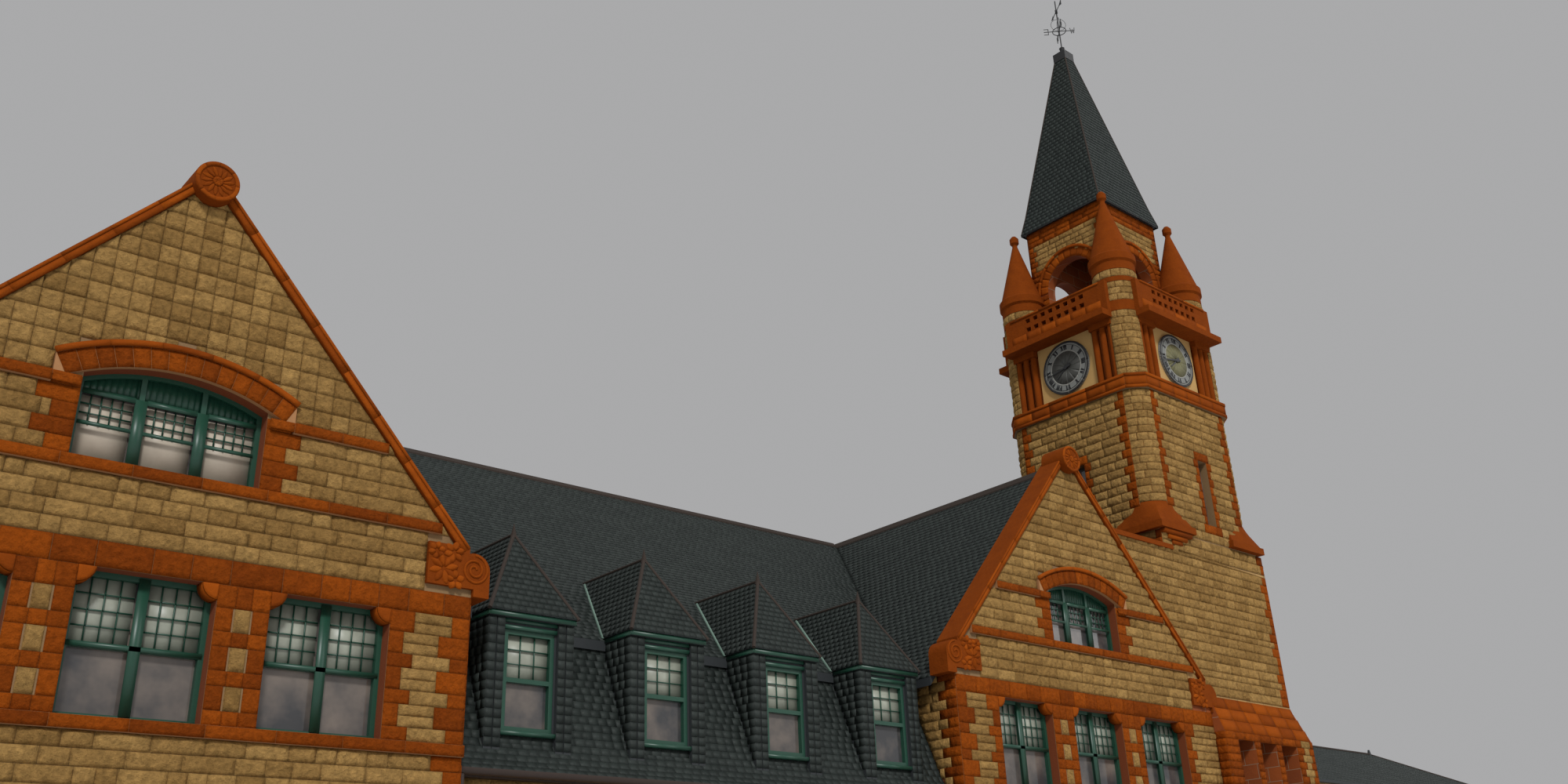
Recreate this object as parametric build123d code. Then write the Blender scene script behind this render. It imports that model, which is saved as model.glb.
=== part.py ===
from build123d import *
import math
import os

# A stone railway station at half size, in millimetres, +Z up.
# The origin is on the ground under the main ridge, midway between the two gabled pavilions.
# The street front faces -Y.

# Plan of the main block
pavilion_axis = 7020.0
pavilion_half = 3220.0
front_depth = 5585.0
range_setback = 300.0
wall = 300.0
reveal = 145.0

# Heights of the main block
floor_thickness = 75.0
first_floor = 2600.0
attic_floor = 4690.0
attic_floor_edge = 1200.0
sill_low = 2995.0
sill_high = 3110.0
window_head = 4405.0
lintel_top = 4645.0
attic_sill_low = 5265.0
attic_sill_high = 5380.0
string_low = 6025.0
string_high = 6135.0
coping_apex = 8700.0
gable_slope = 1.119
ridge_top = 8450.0
roof_thickness = 125.0
band_proud = 50.0

# Gable trim
coping_thickness = 105.0
coping_proud = 50.0
coping_foot = 3155.0
flush_coping_foot = 10155.0
roundel_radius = 225.0
roundel_height = 8500.0
roundel_proud = 150.0
kneeler_inner = 2680.0
kneeler_low = 4725.0
kneeler_top = 5170.0
volute_radius = 185.0
volute_height = 4930.0
hood_half = 1125.0
hood_depth = 250.0
hood_drop = 100.0
hood_proud = 50.0

# Windows and doors
paired_half = 610.0
window_spacing = 1722.0
corbel_reach = 150.0
side_spacing = 2150.0
attic_half = 860.0
attic_arch_radius = 2090.0
attic_spring = 6190.0
portal_radius = 1050.0
portal_spring = 1250.0
side_light_offset = 2000.0
small_light_half = 300.0
range_light_half = 480.0
small_light_sill = 500.0
small_light_spring = 1700.0
frame_width = 50.0
frame_depth = 60.0
rail_height = 3750.0
glass_thickness = 8.0
door_height = 1200.0
door_thickness = 40.0

# Main roof and the steep slope with dormers
eave_y = 875.0
eave_height = 4635.0
slope_foot_y = 100.0
slope_foot_height = 2925.0
slope_bend_y = 425.0
slope_bend_height = 3300.0
slope_top_y = 975.0
slope_top_height = 4650.0
slope_thickness = 150.0
behind_slope = 3000.0
range_wall_top = 2850.0
bay_spacing = 1882.5
bay_count = 4
ridge_cap_half = 90.0
ridge_cap_lift = 35.0

# Dormers
dormer_face_y = 400.0
dormer_half = 545.0
dormer_foot = 3150.0
dormer_wall_top = 4600.0
dormer_cheek = 75.0
pilaster_inner = 345.0
pilaster_proud = 50.0
pilaster_groove = 10.0
dormer_light_half = 320.0
dormer_light_sill = 3380.0
dormer_light_head = 4480.0
dormer_eave_y = 300.0
dormer_eave_half = 580.0
dormer_eave_height = 4665.0
dormer_ridge = 5730.0
dormer_peak_y = 855.0
eave_inset = 25.0
finial_height = 125.0
finial_radius = 22.0

# Tower plan
tower_x = 11180.0
tower_half = 1565.0
tower_wall = 300.0
face_half = 1215.0
pier_inner = 900.0
lower_right = 12915.0
base_reach = 200.0
base_left = 10255.0
base_right = 13100.0

# Tower heights
base_top = 4325.0
weathering_top = 4930.0
shoulder_top = 7440.0
shoulder_cap = 85.0
shoulder_string_end = 9845.0
corbel_low = 7810.0
corbel_slab_top = 7935.0
turret_foot = 8375.0
band_low = 10575.0
band_high = 10875.0
cornice_low = 12100.0
cornice_high = 12225.0
parapet_top = 12875.0
belfry_top = 15090.0

# Turrets
turret_offset = 1145.0
turret_radius = 415.0
corbel_half = 535.0
corbel_step = 30.0
turret_ring = 12.0
lower_ring_top = 12440.0
upper_ring = 12850.0
upper_ring_top = 12950.0
turret_collar = 13120.0
turret_neck = 13290.0
turret_cap = 13480.0
cap_rise = 45.0
turret_cap_radius = 465.0
cone_top = 14820.0
cone_top_radius = 55.0
knob_radius = 95.0
knob_top = 15075.0

# Clock stage
clock_inset = 125.0
panel_half = 660.0
panel_inset = 85.0
colonnette_radius = 62.0
colonnette_pitch = 185.0
colonnette_group = 940.0
capital_height = 120.0
capital_proud = 30.0
dial_radius = 545.0
dial_lift = 12.5
dial_thickness = 40.0
hand_gap = 6.0
hand_thickness = 6.0
minute_length = 470.0
hour_length = 300.0
hand_width = 40.0
tail_length = 110.0
minute_arbor = 14.0
hour_sleeve = 24.0
arbor_gap = 0.8
hub_rim = 14.0
minute_depth = 120.0
hour_depth = 90.0
shown_hour = 7.72

# Slit lights of the tower
slit_left = 11220.0
slit_right = 11505.0
slit_low = 8150.0
slit_high = 9425.0
base_slit_half = 265.0
base_slit_pitch = 690.0
base_slit_middle = 11580.0
base_slit_low = 1500.0
base_slit_high = 4250.0

# Parapet
cornice_proud = 300.0
cornice_half = 1240.0
parapet_proud = 100.0
parapet_thickness = 150.0
hole_width = 110.0
hole_height = 90.0
hole_pitch = 190.0
hole_count = 8
upper_hole_height = 12740.0
lower_hole_height = 12550.0

# Belfry and spire
belfry_half = 945.0
belfry_wall = 225.0
belfry_arch_radius = 584.0
belfry_spring = 13560.0
belfry_sill = 12700.0
spire_eave_half = 1027.0
spire_bell_half = 925.0
spire_bell_height = 15520.0
spire_top_half = 145.0
spire_top = 19500.0
spire_shell = 100.0
spire_hollow_top = 18900.0
cap_half = 161.0
cap_top = 19720.0
pedestal_radius = 90.0
pedestal_top = 19950.0

# Weather vane
vane_rod_radius = 14.0
vane_tip = 290.0
arm_rise = 440.0
arm_reach = 350.0
arm_radius = 9.0
arm_turn_deg = 45.0
ring_radius = 150.0
collar_drop = 40.0
pointer_rise = 570.0
pointer_reach = 350.0
pointer_gap = 0.8
pointer_bearing_deg = 56.0

# Low wing
wing_right = 22685.0
wing_setback = 300.0
wing_depth = 4200.0
wing_wall_top = 3740.0
wing_eave = 3790.0
wing_ridge = 4965.0
wing_overhang = 100.0
wing_bay_count = 5
wing_bay_pitch = 1750.0
wing_light_sill = 900.0
wing_light_head = 2900.0

# Rainwater goods
gutter_radius = 70.0
gutter_shell = 12.0
pipe_radius = 45.0
seat = 0.3
far = 100000.0

front = -front_depth
tower_y = front + tower_half
tower_left = tower_x - tower_half
tower_right = tower_x + tower_half
tower_back = front + 2 * tower_half
main_rise = (ridge_top - eave_height) / (front_depth - eave_y)
eave_out = (ridge_top - eave_height) / gable_slope
coping_drop = coping_thickness * math.sqrt(1 + gable_slope ** 2)
eaves_back = slope_foot_y + 95.0
dial_height = (band_high + cornice_low) / 2 + dial_lift
hour_bore = minute_arbor + arbor_gap
dial_bore = hour_sleeve + arbor_gap
arm_height = pedestal_top + arm_rise
pointer_height = arm_height + pointer_rise
vane_top = pointer_height + vane_tip


def box(x0, x1, y0, y1, z0, z1):
    """A box between two corners."""
    return Pos((x0 + x1) / 2, (y0 + y1) / 2, (z0 + z1) / 2) * Box(x1 - x0, y1 - y0, z1 - z0)


def side_box(x_axis, side, near, reach, y0, y1, z0, z1):
    """A box on one side of an axis, from a near to a far distance."""
    a, b = x_axis + side * near, x_axis + side * reach
    return box(min(a, b), max(a, b), y0, y1, z0, z1)


def outline_xz(points, y0, y1):
    """A flat outline in X and Z, given thickness along Y."""
    face = make_face(Polyline(*[(x, y0, z) for x, z in points], close=True))
    return Solid.extrude(face.face(), Vector(0, y1 - y0, 0))


def outline_yz(points, x0, x1):
    """A flat outline in Y and Z, given thickness along X."""
    face = make_face(Polyline(*[(x0, y, z) for y, z in points], close=True))
    return Solid.extrude(face.face(), Vector(x1 - x0, 0, 0))


def outline_xy(points, z0, z1):
    """A flat outline in X and Y, given height along Z."""
    face = make_face(Polyline(*[(x, y, z0) for x, y in points], close=True))
    return Solid.extrude(face.face(), Vector(0, 0, z1 - z0))


def turned(radii_heights):
    """A round piece from its half section, given as radius and height pairs."""
    points = [(0, radii_heights[0][1])] + list(radii_heights) + [(0, radii_heights[-1][1])]
    section = make_face(Polyline(*[(r, 0, z) for r, z in points], close=True))
    return revolve(section, Axis.Z)


def upright(x, y, radius, z0, z1):
    """A standing cylinder."""
    return Pos(x, y, (z0 + z1) / 2) * Cylinder(radius, z1 - z0)


def drum(x, z, radius, y0, y1):
    """A cylinder that lies along Y."""
    return Pos(x, (y0 + y1) / 2, z) * Rot(90, 0, 0) * Cylinder(radius, y1 - y0)


def back_copy(piece):
    """The same piece on the far side of the main ridge."""
    return piece.mirror(Plane.XZ)


def both(piece):
    """A street-side piece and its copy at the back."""
    return [piece, back_copy(piece)]


def save(name, pieces):
    """Writes one node, made of solids that don't touch."""
    solids = []
    for piece in pieces if isinstance(pieces, (list, tuple)) else [pieces]:
        solids.extend(piece.solids())
    shape = solids[0] if len(solids) == 1 else Compound(children=solids)
    export_step(shape, "parts/" + name + ".step")
    print(name, len(solids), "solids")


# Openings

def round_light(x, half, sill, spring, y0, y1):
    """A round-headed opening through a front wall."""
    return box(x - half, x + half, y0, y1, sill, spring) + drum(x, spring, half, y0, y1)


def low_arch(x, half, radius, sill, spring, y0, y1):
    """An opening under a segmental arch."""
    centre = spring - math.sqrt(radius ** 2 - half ** 2)
    head = drum(x, centre, radius, y0, y1) & box(x - half, x + half, y0, y1, spring, centre + radius)
    return box(x - half, x + half, y0, y1, sill, spring) + head


def ground_lights(axis, y0, y1):
    """The portal and the two round-headed lights of a pavilion's ground storey."""
    cut = round_light(axis, portal_radius, 0, portal_spring, y0, y1)
    for side in (-1, 1):
        cut += round_light(axis + side * side_light_offset, small_light_half, small_light_sill,
                           small_light_spring, y0, y1)
    return cut


def corbelled_light(x, y0, y1):
    """A square-headed opening whose head is carried by a quarter-round corbel at each side."""
    opening = box(x - paired_half, x + paired_half, y0, y1, sill_high, window_head)
    for side in (-1, 1):
        stone = side_box(x + side * paired_half, -side, 0, corbel_reach, y0, y0 + reveal,
                         window_head - corbel_reach, window_head)
        opening -= stone & drum(x + side * paired_half, window_head, corbel_reach, y0, y0 + reveal)
    return opening


def attic_light(x, y0, y1, inset=0.0):
    """The opening of the arched attic window, made smaller by an inset."""
    return low_arch(x, attic_half - inset, attic_arch_radius - inset, attic_sill_high + inset,
                    attic_spring - inset / 2, y0, y1)


# Walls of the main block

def pavilion_ground(axis, right):
    """The street wall of a pavilion's ground storey."""
    body = box(axis - pavilion_half, right, front, front + wall, 0, sill_low)
    return body - ground_lights(axis, front - 1, front + wall + 1)


def pavilion_first(axis, right):
    """The street wall of a pavilion's first storey."""
    body = box(axis - pavilion_half, right, front, front + wall, sill_low, lintel_top)
    for k in (-1, 0, 1):
        body -= corbelled_light(axis + k * window_spacing, front, front + wall)
    return body


def coping_line(offset):
    """Height of the gable's coping at a distance from its axis."""
    return coping_apex - gable_slope * offset


def gable_wall(axis, flush_to=None):
    """The upper wall of a pavilion, with a flush shoulder where the tower stands beside it."""
    edge = coping_line(pavilion_half) - coping_drop
    left = axis - pavilion_half
    points = [(left, lintel_top), (left, edge), (axis, coping_apex - coping_drop)]
    if flush_to:
        shoulder = axis + (coping_apex - coping_drop - shoulder_top) / gable_slope
        points += [(shoulder, shoulder_top), (flush_to, shoulder_top), (flush_to, lintel_top)]
    else:
        points += [(axis + pavilion_half, edge), (axis + pavilion_half, lintel_top)]
    return outline_xz(points, front, front + wall) - attic_light(axis, front - 1, front + wall + 1)


def under_cross_roof(axis):
    """Everything above the underside of a pavilion's roof."""
    low = eave_height - roof_thickness - 400 * gable_slope
    points = [(axis - eave_out - 400, low), (axis, ridge_top - roof_thickness), (axis + eave_out + 400, low),
              (axis + eave_out + 400, ridge_top + 500), (axis - eave_out - 400, ridge_top + 500)]
    return outline_xz(points, front, -front)


def side_wall(axis, side, y0, y1, bay_centres):
    """A pavilion's outer side wall with two rows of windows, trimmed under the roof."""
    body = side_box(axis, side, pavilion_half - wall, pavilion_half, y0, y1, 0, eave_height + 300)
    body -= under_cross_roof(axis)
    for y in bay_centres:
        body -= side_box(axis, side, pavilion_half - wall - 1, pavilion_half + 1, y - paired_half,
                         y + paired_half, sill_high, window_head)
        body -= side_round_light(axis, side, y)
    return body


def side_round_light(axis, side, y):
    """A round-headed light through a side wall."""
    near, reach = pavilion_half - wall - 1, pavilion_half + 1
    head = Pos(axis + side * (near + reach) / 2, y, small_light_spring) * Rot(0, 90, 0) * Cylinder(
        small_light_half, reach - near)
    return head + side_box(axis, side, near, reach, y - small_light_half, y + small_light_half,
                           small_light_sill, small_light_spring)


def left_bays():
    return [k * side_spacing for k in (-2, -1, 0, 1, 2)]


def right_bays():
    return [k * side_spacing for k in (0, 1, 2)]


def bays():
    """Centres of the dormers and of the ground storey's lights below them."""
    return [(k - (bay_count - 1) / 2) * bay_spacing for k in range(bay_count)]


def cheek_wall(axis, side):
    """The short inner side of a pavilion above the range's wall."""
    y0, y1 = front + wall, front + eave_y + wall
    body = side_box(axis, side, pavilion_half - wall, pavilion_half, y0, y1, range_wall_top,
                    eave_height + 300)
    return body - under_cross_roof(axis)


def range_wall():
    """The street wall of the range's ground storey."""
    y0 = front + range_setback
    inner = pavilion_axis - pavilion_half + wall
    body = box(-inner, inner, y0, y0 + wall, 0, range_wall_top)
    for x in bays():
        body -= round_light(x, range_light_half, small_light_sill, small_light_spring, y0 - 1, y0 + wall + 1)
    return body


def save_main_walls():
    left, right = -pavilion_axis, pavilion_axis
    full_right = right + pavilion_half
    save("left_pavilion_ground_walls", both(pavilion_ground(left, left + pavilion_half)))
    save("left_pavilion_upper_walls", both(pavilion_first(left, left + pavilion_half) + cheek_wall(left, 1)))
    save("right_pavilion_ground_walls", [pavilion_ground(right, tower_left),
                                         back_copy(pavilion_ground(right, full_right))])
    save("right_pavilion_upper_walls", [pavilion_first(right, tower_left) + cheek_wall(right, -1),
                                        back_copy(pavilion_first(right, full_right) + cheek_wall(right, -1))])
    save("gable_walls", both(gable_wall(left)) + [gable_wall(right, tower_left),
                                                  back_copy(gable_wall(right))])
    save("side_walls", [side_wall(left, -1, front + wall, -front - wall, left_bays()),
                        side_wall(right, 1, tower_back, -front - wall, right_bays())])
    save("range_walls", both(range_wall()))


def floor_plate(height, range_y):
    """A floor inside the walls, with its edge at a given distance behind the range's front."""
    x1 = pavilion_axis + pavilion_half - wall
    x0 = pavilion_axis - pavilion_half + wall
    y0, y1 = front + range_y, front + wall
    body = box(-x1, x1, y0, -y0, height, height + floor_thickness)
    for a, b in ((-x1, -x0), (x0, x1)):
        body += box(a, b, y1, -y1, height, height + floor_thickness)
    return body - box(tower_left, far, front, tower_back, 0, far)


def save_floors():
    wing_front = front + wing_setback + wall
    wing_floor = box(base_right + wall, wing_right - wall, wing_front, wing_front + wing_depth - 2 * wall, 0,
                     floor_thickness)
    tower_floor = box(tower_left + wall, lower_right - wall, front + wall, tower_back - wall, 0,
                      floor_thickness)
    save("ground_floors", [floor_plate(0, range_setback + wall), tower_floor, wing_floor])
    save("upper_floors", [floor_plate(first_floor, range_setback + wall),
                          floor_plate(attic_floor, attic_floor_edge)])


# Roofs

def main_slope():
    """The street slope of the main roof, between the two valleys."""
    profile = [(front + eave_y, eave_height), (0, ridge_top), (0, ridge_top - roof_thickness),
               (front + eave_y, eave_height - roof_thickness)]
    plan = [(-pavilion_axis + eave_out, front + eave_y), (pavilion_axis - eave_out, front + eave_y),
            (pavilion_axis, 0), (-pavilion_axis, 0)]
    return outline_yz(profile, -pavilion_axis, pavilion_axis) & outline_xy(plan, 0, far)


def cross_slab(axis, side, y0, y1):
    """One slope of a pavilion's roof."""
    points = [(axis, ridge_top), (axis + side * eave_out, eave_height),
              (axis + side * eave_out, eave_height - roof_thickness), (axis, ridge_top - roof_thickness)]
    return outline_xz(points, y0, y1)


def pavilion_roof(axis, inner_side):
    """A pavilion's roof: one full slope outside, two triangular ones towards the range."""
    end = front_depth - wall
    body = cross_slab(axis, -inner_side, -end, end)
    inner = cross_slab(axis, inner_side, -end, end)
    eave_x = axis + inner_side * eave_out
    for sign in (-1, 1):
        plan = [(axis, sign * end), (eave_x, sign * end), (eave_x, sign * (front_depth - eave_y)), (axis, 0)]
        body += inner & outline_xy(plan, 0, far)
    return body


def slope_lines(x, inset):
    """The steep slope's section: a flared foot and a straight upper part."""
    foot = (x, front + slope_foot_y + inset, slope_foot_height)
    bend = (x, front + slope_bend_y + inset, slope_bend_height)
    top = (x, front + slope_top_y + inset, slope_top_height)
    run = math.hypot(top[1] - bend[1], top[2] - bend[2])
    direction = (0, (bend[1] - top[1]) / run, (bend[2] - top[2]) / run)
    return Line(top, bend), TangentArc(bend, foot, tangent=direction), foot, top


def slope_solid(inset):
    """The steep slope between its outer surface and one moved inwards."""
    x0 = -pavilion_axis + pavilion_half
    straight, flare, foot, top = slope_lines(x0, 0)
    straight_in, flare_in, foot_in, top_in = slope_lines(x0, inset)
    lines = [straight, flare, Line(foot, foot_in), flare_in, straight_in, Line(top_in, top)]
    face = make_face(Wire([edge for line in lines for edge in line.edges()]))
    return Solid.extrude(face.face(), Vector(-2 * x0, 0, 0))


def under_main_roof():
    """Everything above the underside of the main roof's street slope."""
    low = eave_height - roof_thickness
    points = [(front + eave_y - 400, low - 400 * main_rise), (0, ridge_top - roof_thickness),
              (0, ridge_top + 900), (front + eave_y - 400, ridge_top + 900)]
    return outline_yz(points, -pavilion_axis, pavilion_axis)


def steep_slope():
    """The steep slate slope, with an opening behind each dormer."""
    slab = slope_solid(slope_thickness) - under_main_roof()
    for x in bays():
        slab -= box(x - dormer_half + dormer_cheek, x + dormer_half - dormer_cheek, front, front + 2000,
                    dormer_light_sill, dormer_wall_top - 150)
    return slab


def range_eaves():
    """The boxed eaves that carry the foot of the steep slope."""
    x0 = -pavilion_axis + pavilion_half
    return box(x0, -x0, front + eaves_back, front + range_setback + wall, range_wall_top, slope_foot_height)


def gutter():
    """The gutter under a steep slope, with a downpipe at each end."""
    reach = pavilion_axis - pavilion_half
    y = front + eaves_back - gutter_radius + gutter_shell / 2
    z = slope_foot_height
    body = Pos(0, y, z) * Rot(0, 90, 0) * Cylinder(gutter_radius, 2 * reach)
    body -= Pos(0, y, z) * Rot(0, 90, 0) * Cylinder(gutter_radius - gutter_shell, 2 * reach + 2)
    body &= box(-reach, reach, y - 100, y + 100, z - 100, z)
    for side in (-1, 1):
        x = side * (reach - pipe_radius - 20)
        body += upright(x, y, pipe_radius, 0, z - gutter_radius + gutter_shell / 2)
    return body


def cap_outline(middle, slope):
    """The section of a metal ridge cap, which sits astride two roof slopes."""
    half, lift = ridge_cap_half, ridge_cap_lift
    drop = half * slope
    return [(middle - half, ridge_top - drop), (middle, ridge_top), (middle + half, ridge_top - drop),
            (middle + half, ridge_top - drop + lift), (middle + half / 3, ridge_top + lift),
            (middle - half / 3, ridge_top + lift), (middle - half, ridge_top - drop + lift)]


def ridge_caps():
    """Metal caps along the main ridge and both pavilion ridges, as three solids."""
    end = front_depth - wall - coping_proud
    cross = [outline_xz(cap_outline(axis, gable_slope), -end, end)
             for axis in (-pavilion_axis, pavilion_axis)]
    reach = pavilion_axis - ridge_cap_half
    return [outline_yz(cap_outline(0, main_rise), -reach, reach) - cross[0] - cross[1]] + cross


def save_roofs():
    slope = main_slope()
    save("main_roof", slope + back_copy(slope))
    tower_block = box(tower_left, far, front, tower_back, 0, far)
    left_roof = pavilion_roof(-pavilion_axis, 1)
    right_roof = pavilion_roof(pavilion_axis, -1)
    save("pavilion_roofs", [left_roof, right_roof - tower_block])
    save("steep_slopes", both(steep_slope()))
    save("range_eaves", both(range_eaves() + gutter()))
    roofs = slope + back_copy(slope) + left_roof + right_roof
    save("ridge_caps", [cap - roofs for cap in ridge_caps()])


# Gable trim

def coping(axis, side, foot):
    """One sloped coping of a gable, with an upright joint at the apex."""
    points = [(axis, coping_apex), (axis + side * foot, coping_line(foot)),
              (axis + side * foot, coping_line(foot) - coping_drop), (axis, coping_apex - coping_drop)]
    return outline_xz(points, front - coping_proud, front + wall + coping_proud)


def roundel(axis):
    """The drum that stands at the apex of a gable."""
    return drum(axis, roundel_height, roundel_radius, front - roundel_proud, front + wall)


def over_wall(axis):
    """The space that a gable wall takes up to its apex."""
    edge = coping_line(pavilion_half) - coping_drop
    points = [(axis - pavilion_half, 0), (axis - pavilion_half, edge), (axis, coping_apex - coping_drop),
              (axis + pavilion_half, edge), (axis + pavilion_half, 0)]
    return outline_xz(points, front, front + wall)


def gable_top(axis):
    """Both copings with the roundel, as one piece of masonry."""
    return coping(axis, -1, coping_foot) + coping(axis, 1, coping_foot) + roundel(axis) - over_wall(axis)


def gable_top_beside_tower(axis):
    """The copings of the gable that dies into the tower's flush wall as a thin moulding."""
    right = coping(axis, 1, flush_coping_foot - axis)
    moulding = right & box(axis, far, front - coping_proud, front - seat, 0, shoulder_top)
    free = right & box(axis, far, front - coping_proud, far, shoulder_top, far)
    inner = axis + (coping_apex - coping_drop / 2 - shoulder_top) / gable_slope
    cap = box(inner, tower_left, front - coping_proud, front + wall, shoulder_top,
              shoulder_top + shoulder_cap)
    string = box(tower_left, shoulder_string_end, front - coping_proud, front - seat, shoulder_top,
                 shoulder_top + shoulder_cap)
    return coping(axis, -1, coping_foot) + free + moulding + cap + string + roundel(axis) - over_wall(axis)


def kneeler(axis, side):
    """The corbelled stone at the foot of a coping, with a volute at its outer end."""
    inner, outer = axis + side * kneeler_inner, axis + side * pavilion_half
    shoulder = axis + side * (coping_apex - coping_drop - kneeler_top) / gable_slope
    points = [(inner, kneeler_low), (outer, kneeler_low), (outer, coping_line(pavilion_half) - coping_drop),
              (shoulder, kneeler_top), (inner, kneeler_top)]
    block = outline_xz(points, front - band_proud, front - seat)
    volute = drum(outer, volute_height, volute_radius, front - band_proud, front + wall)
    cheek = side_box(axis, side, pavilion_half, pavilion_half + volute_radius, front - band_proud,
                     front + wall, lintel_top, volute_height)
    behind = side_box(axis, side, 0, pavilion_half, front - seat, far, 0, far)
    return block + ((volute + cheek) - behind)


def hood(axis):
    """The hood over the arched attic window, with its two square ends."""
    centre = attic_spring - math.sqrt(attic_arch_radius ** 2 - attic_half ** 2)
    ring = drum(axis, centre, attic_arch_radius + hood_depth, front - hood_proud, front - seat)
    ring -= drum(axis, centre, attic_arch_radius, front - hood_proud - 1, front)
    return ring & box(axis - hood_half, axis + hood_half, front - hood_proud, front - seat,
                      attic_spring - hood_drop, far)


def save_gable_trim():
    left, right = -pavilion_axis, pavilion_axis
    stones = [kneeler(left, -1), kneeler(left, 1), kneeler(right, -1)]
    tower_side_stone = kneeler(right, 1) - box(pavilion_axis, far, front - seat, far, 0, far) - tower_plinth()
    backs = [back_copy(kneeler(axis, side)) for axis in (left, right) for side in (-1, 1)]
    all_stones = stones + [tower_side_stone] + backs
    copings = both(gable_top(left)) + [gable_top_beside_tower(right), back_copy(gable_top(right))]
    trimmed = []
    for piece in copings:
        for stone in all_stones:
            piece = piece - stone
        trimmed.append(piece)
    save("gable_copings", trimmed)
    save("kneelers", all_stones)


def save_bands():
    """String courses and sill bands of the gabled fronts."""
    courses = []
    for axis in (-pavilion_axis, pavilion_axis):
        for z0, z1, gap in ((attic_sill_low, attic_sill_high, 0), (string_low, string_high, hood_half)):
            reach = (coping_apex - coping_drop - z1) / gable_slope - 10
            spans = [(-reach, -gap), (gap, reach)] if gap else [(-reach, reach)]
            pieces = [box(axis + a, axis + b, front - band_proud, front - seat, z0, z1) for a, b in spans]
            courses.append(pieces[0] + pieces[1] + hood(axis) if gap else pieces[0])
        courses.append(box(axis - pavilion_half, axis + pavilion_half, front - band_proud, front - seat,
                           sill_low, sill_high))
    save("string_courses", courses + [back_copy(course) for course in courses])


# Dormers

def dormer_walls(x, solid_slope):
    """A dormer's front and cheeks, down to where they die into the steep slope."""
    y0, deep = front + dormer_face_y, front + slope_top_y
    body = box(x - dormer_half, x + dormer_half, y0, deep, dormer_foot, dormer_wall_top)
    body -= box(x - dormer_half + dormer_cheek, x + dormer_half - dormer_cheek, y0 + dormer_cheek, deep + 1,
                dormer_foot - 1, dormer_wall_top + 1)
    body -= box(x - dormer_light_half, x + dormer_light_half, y0 - 1, y0 + dormer_cheek + 1,
                dormer_light_sill, dormer_light_head)
    for side in (-1, 1):
        body += side_box(x, side, pilaster_inner, dormer_half, y0 - pilaster_proud, y0, dormer_foot,
                         dormer_wall_top)
        groove = (pilaster_inner + dormer_half - pilaster_groove) / 2
        body -= side_box(x, side, groove, groove + pilaster_groove, y0 - pilaster_proud - 1,
                         y0 - pilaster_proud / 2, dormer_foot - 1, dormer_wall_top + 1)
    body -= solid_slope
    body = max(body.solids(), key=lambda solid: solid.volume) - under_main_roof()
    return max(body.solids(), key=lambda solid: solid.volume)


def dormer_roof(x):
    """A dormer's steep hipped roof on its eaves board, running back into the main roof."""
    y0, peak = front + dormer_eave_y, front + dormer_peak_y
    back = front + eave_y + (dormer_ridge - eave_height) / main_rise
    half = dormer_eave_half
    body = outline_xz([(x - half, dormer_eave_height), (x + half, dormer_eave_height), (x, dormer_ridge)],
                      y0, back)
    body -= outline_yz([(y0, dormer_eave_height), (peak, dormer_ridge), (peak, dormer_ridge + 500),
                        (y0 - 500, dormer_ridge + 500), (y0 - 500, dormer_eave_height)],
                       x - half - 1, x + half + 1)
    body += box(x - half + eave_inset, x + half - eave_inset, y0 + eave_inset, front + eave_y,
                dormer_wall_top, dormer_eave_height)
    main_top = outline_yz([(front + eave_y, eave_height - 200), (front + eave_y, eave_height),
                           (back + 10, dormer_ridge + 10 * main_rise), (back + 10, eave_height - 200)],
                          x - half - 1, x + half + 1)
    knob = Pos(x, peak, dormer_ridge + finial_height / 2 - 20) * Cone(finial_radius, finial_radius / 2,
                                                                      finial_height)
    return body - main_top + knob


def save_dormers():
    solid_slope = slope_solid(behind_slope)
    fronts = [dormer_walls(x, solid_slope) for x in bays()]
    save("dormer_walls", fronts + [back_copy(piece) for piece in fronts])
    roofs = [dormer_roof(x) for x in bays()]
    save("dormer_roofs", roofs + [back_copy(piece) for piece in roofs])


# Windows and doors

def sash_frame(x, half, z0, z1, y0, rail, mullion=True):
    """A wooden frame with a meeting rail, and an upright in the middle of a wide one."""
    w = frame_width
    body = box(x - half, x + half, y0, y0 + frame_depth, z0, z1)
    spans = [(x - half + w, x + half - w)]
    if mullion:
        spans = [(x - half + w, x - w / 2), (x + w / 2, x + half - w)]
    for a, b in spans:
        for low, high in ((z0 + w, rail - w / 2), (rail + w / 2, z1 - w)):
            body -= box(a, b, y0 - 1, y0 + frame_depth + 1, low, high)
    return body


def attic_frame(x, y0):
    """The three-light frame of an arched attic window."""
    y1 = y0 + frame_depth
    body = attic_light(x, y0, y1) - attic_light(x, y0 - 1, y1 + 1, frame_width)
    for side in (-1, 1):
        post = x + side * attic_half / 3
        body += attic_light(x, y0, y1) & box(post - frame_width / 2, post + frame_width / 2, y0, y1, 0, far)
    return body


def pane(opening_shape, y_frame):
    """The glass behind a frame."""
    y = y_frame + frame_depth
    return opening_shape & box(-far, far, y, y + glass_thickness, 0, far)


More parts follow.
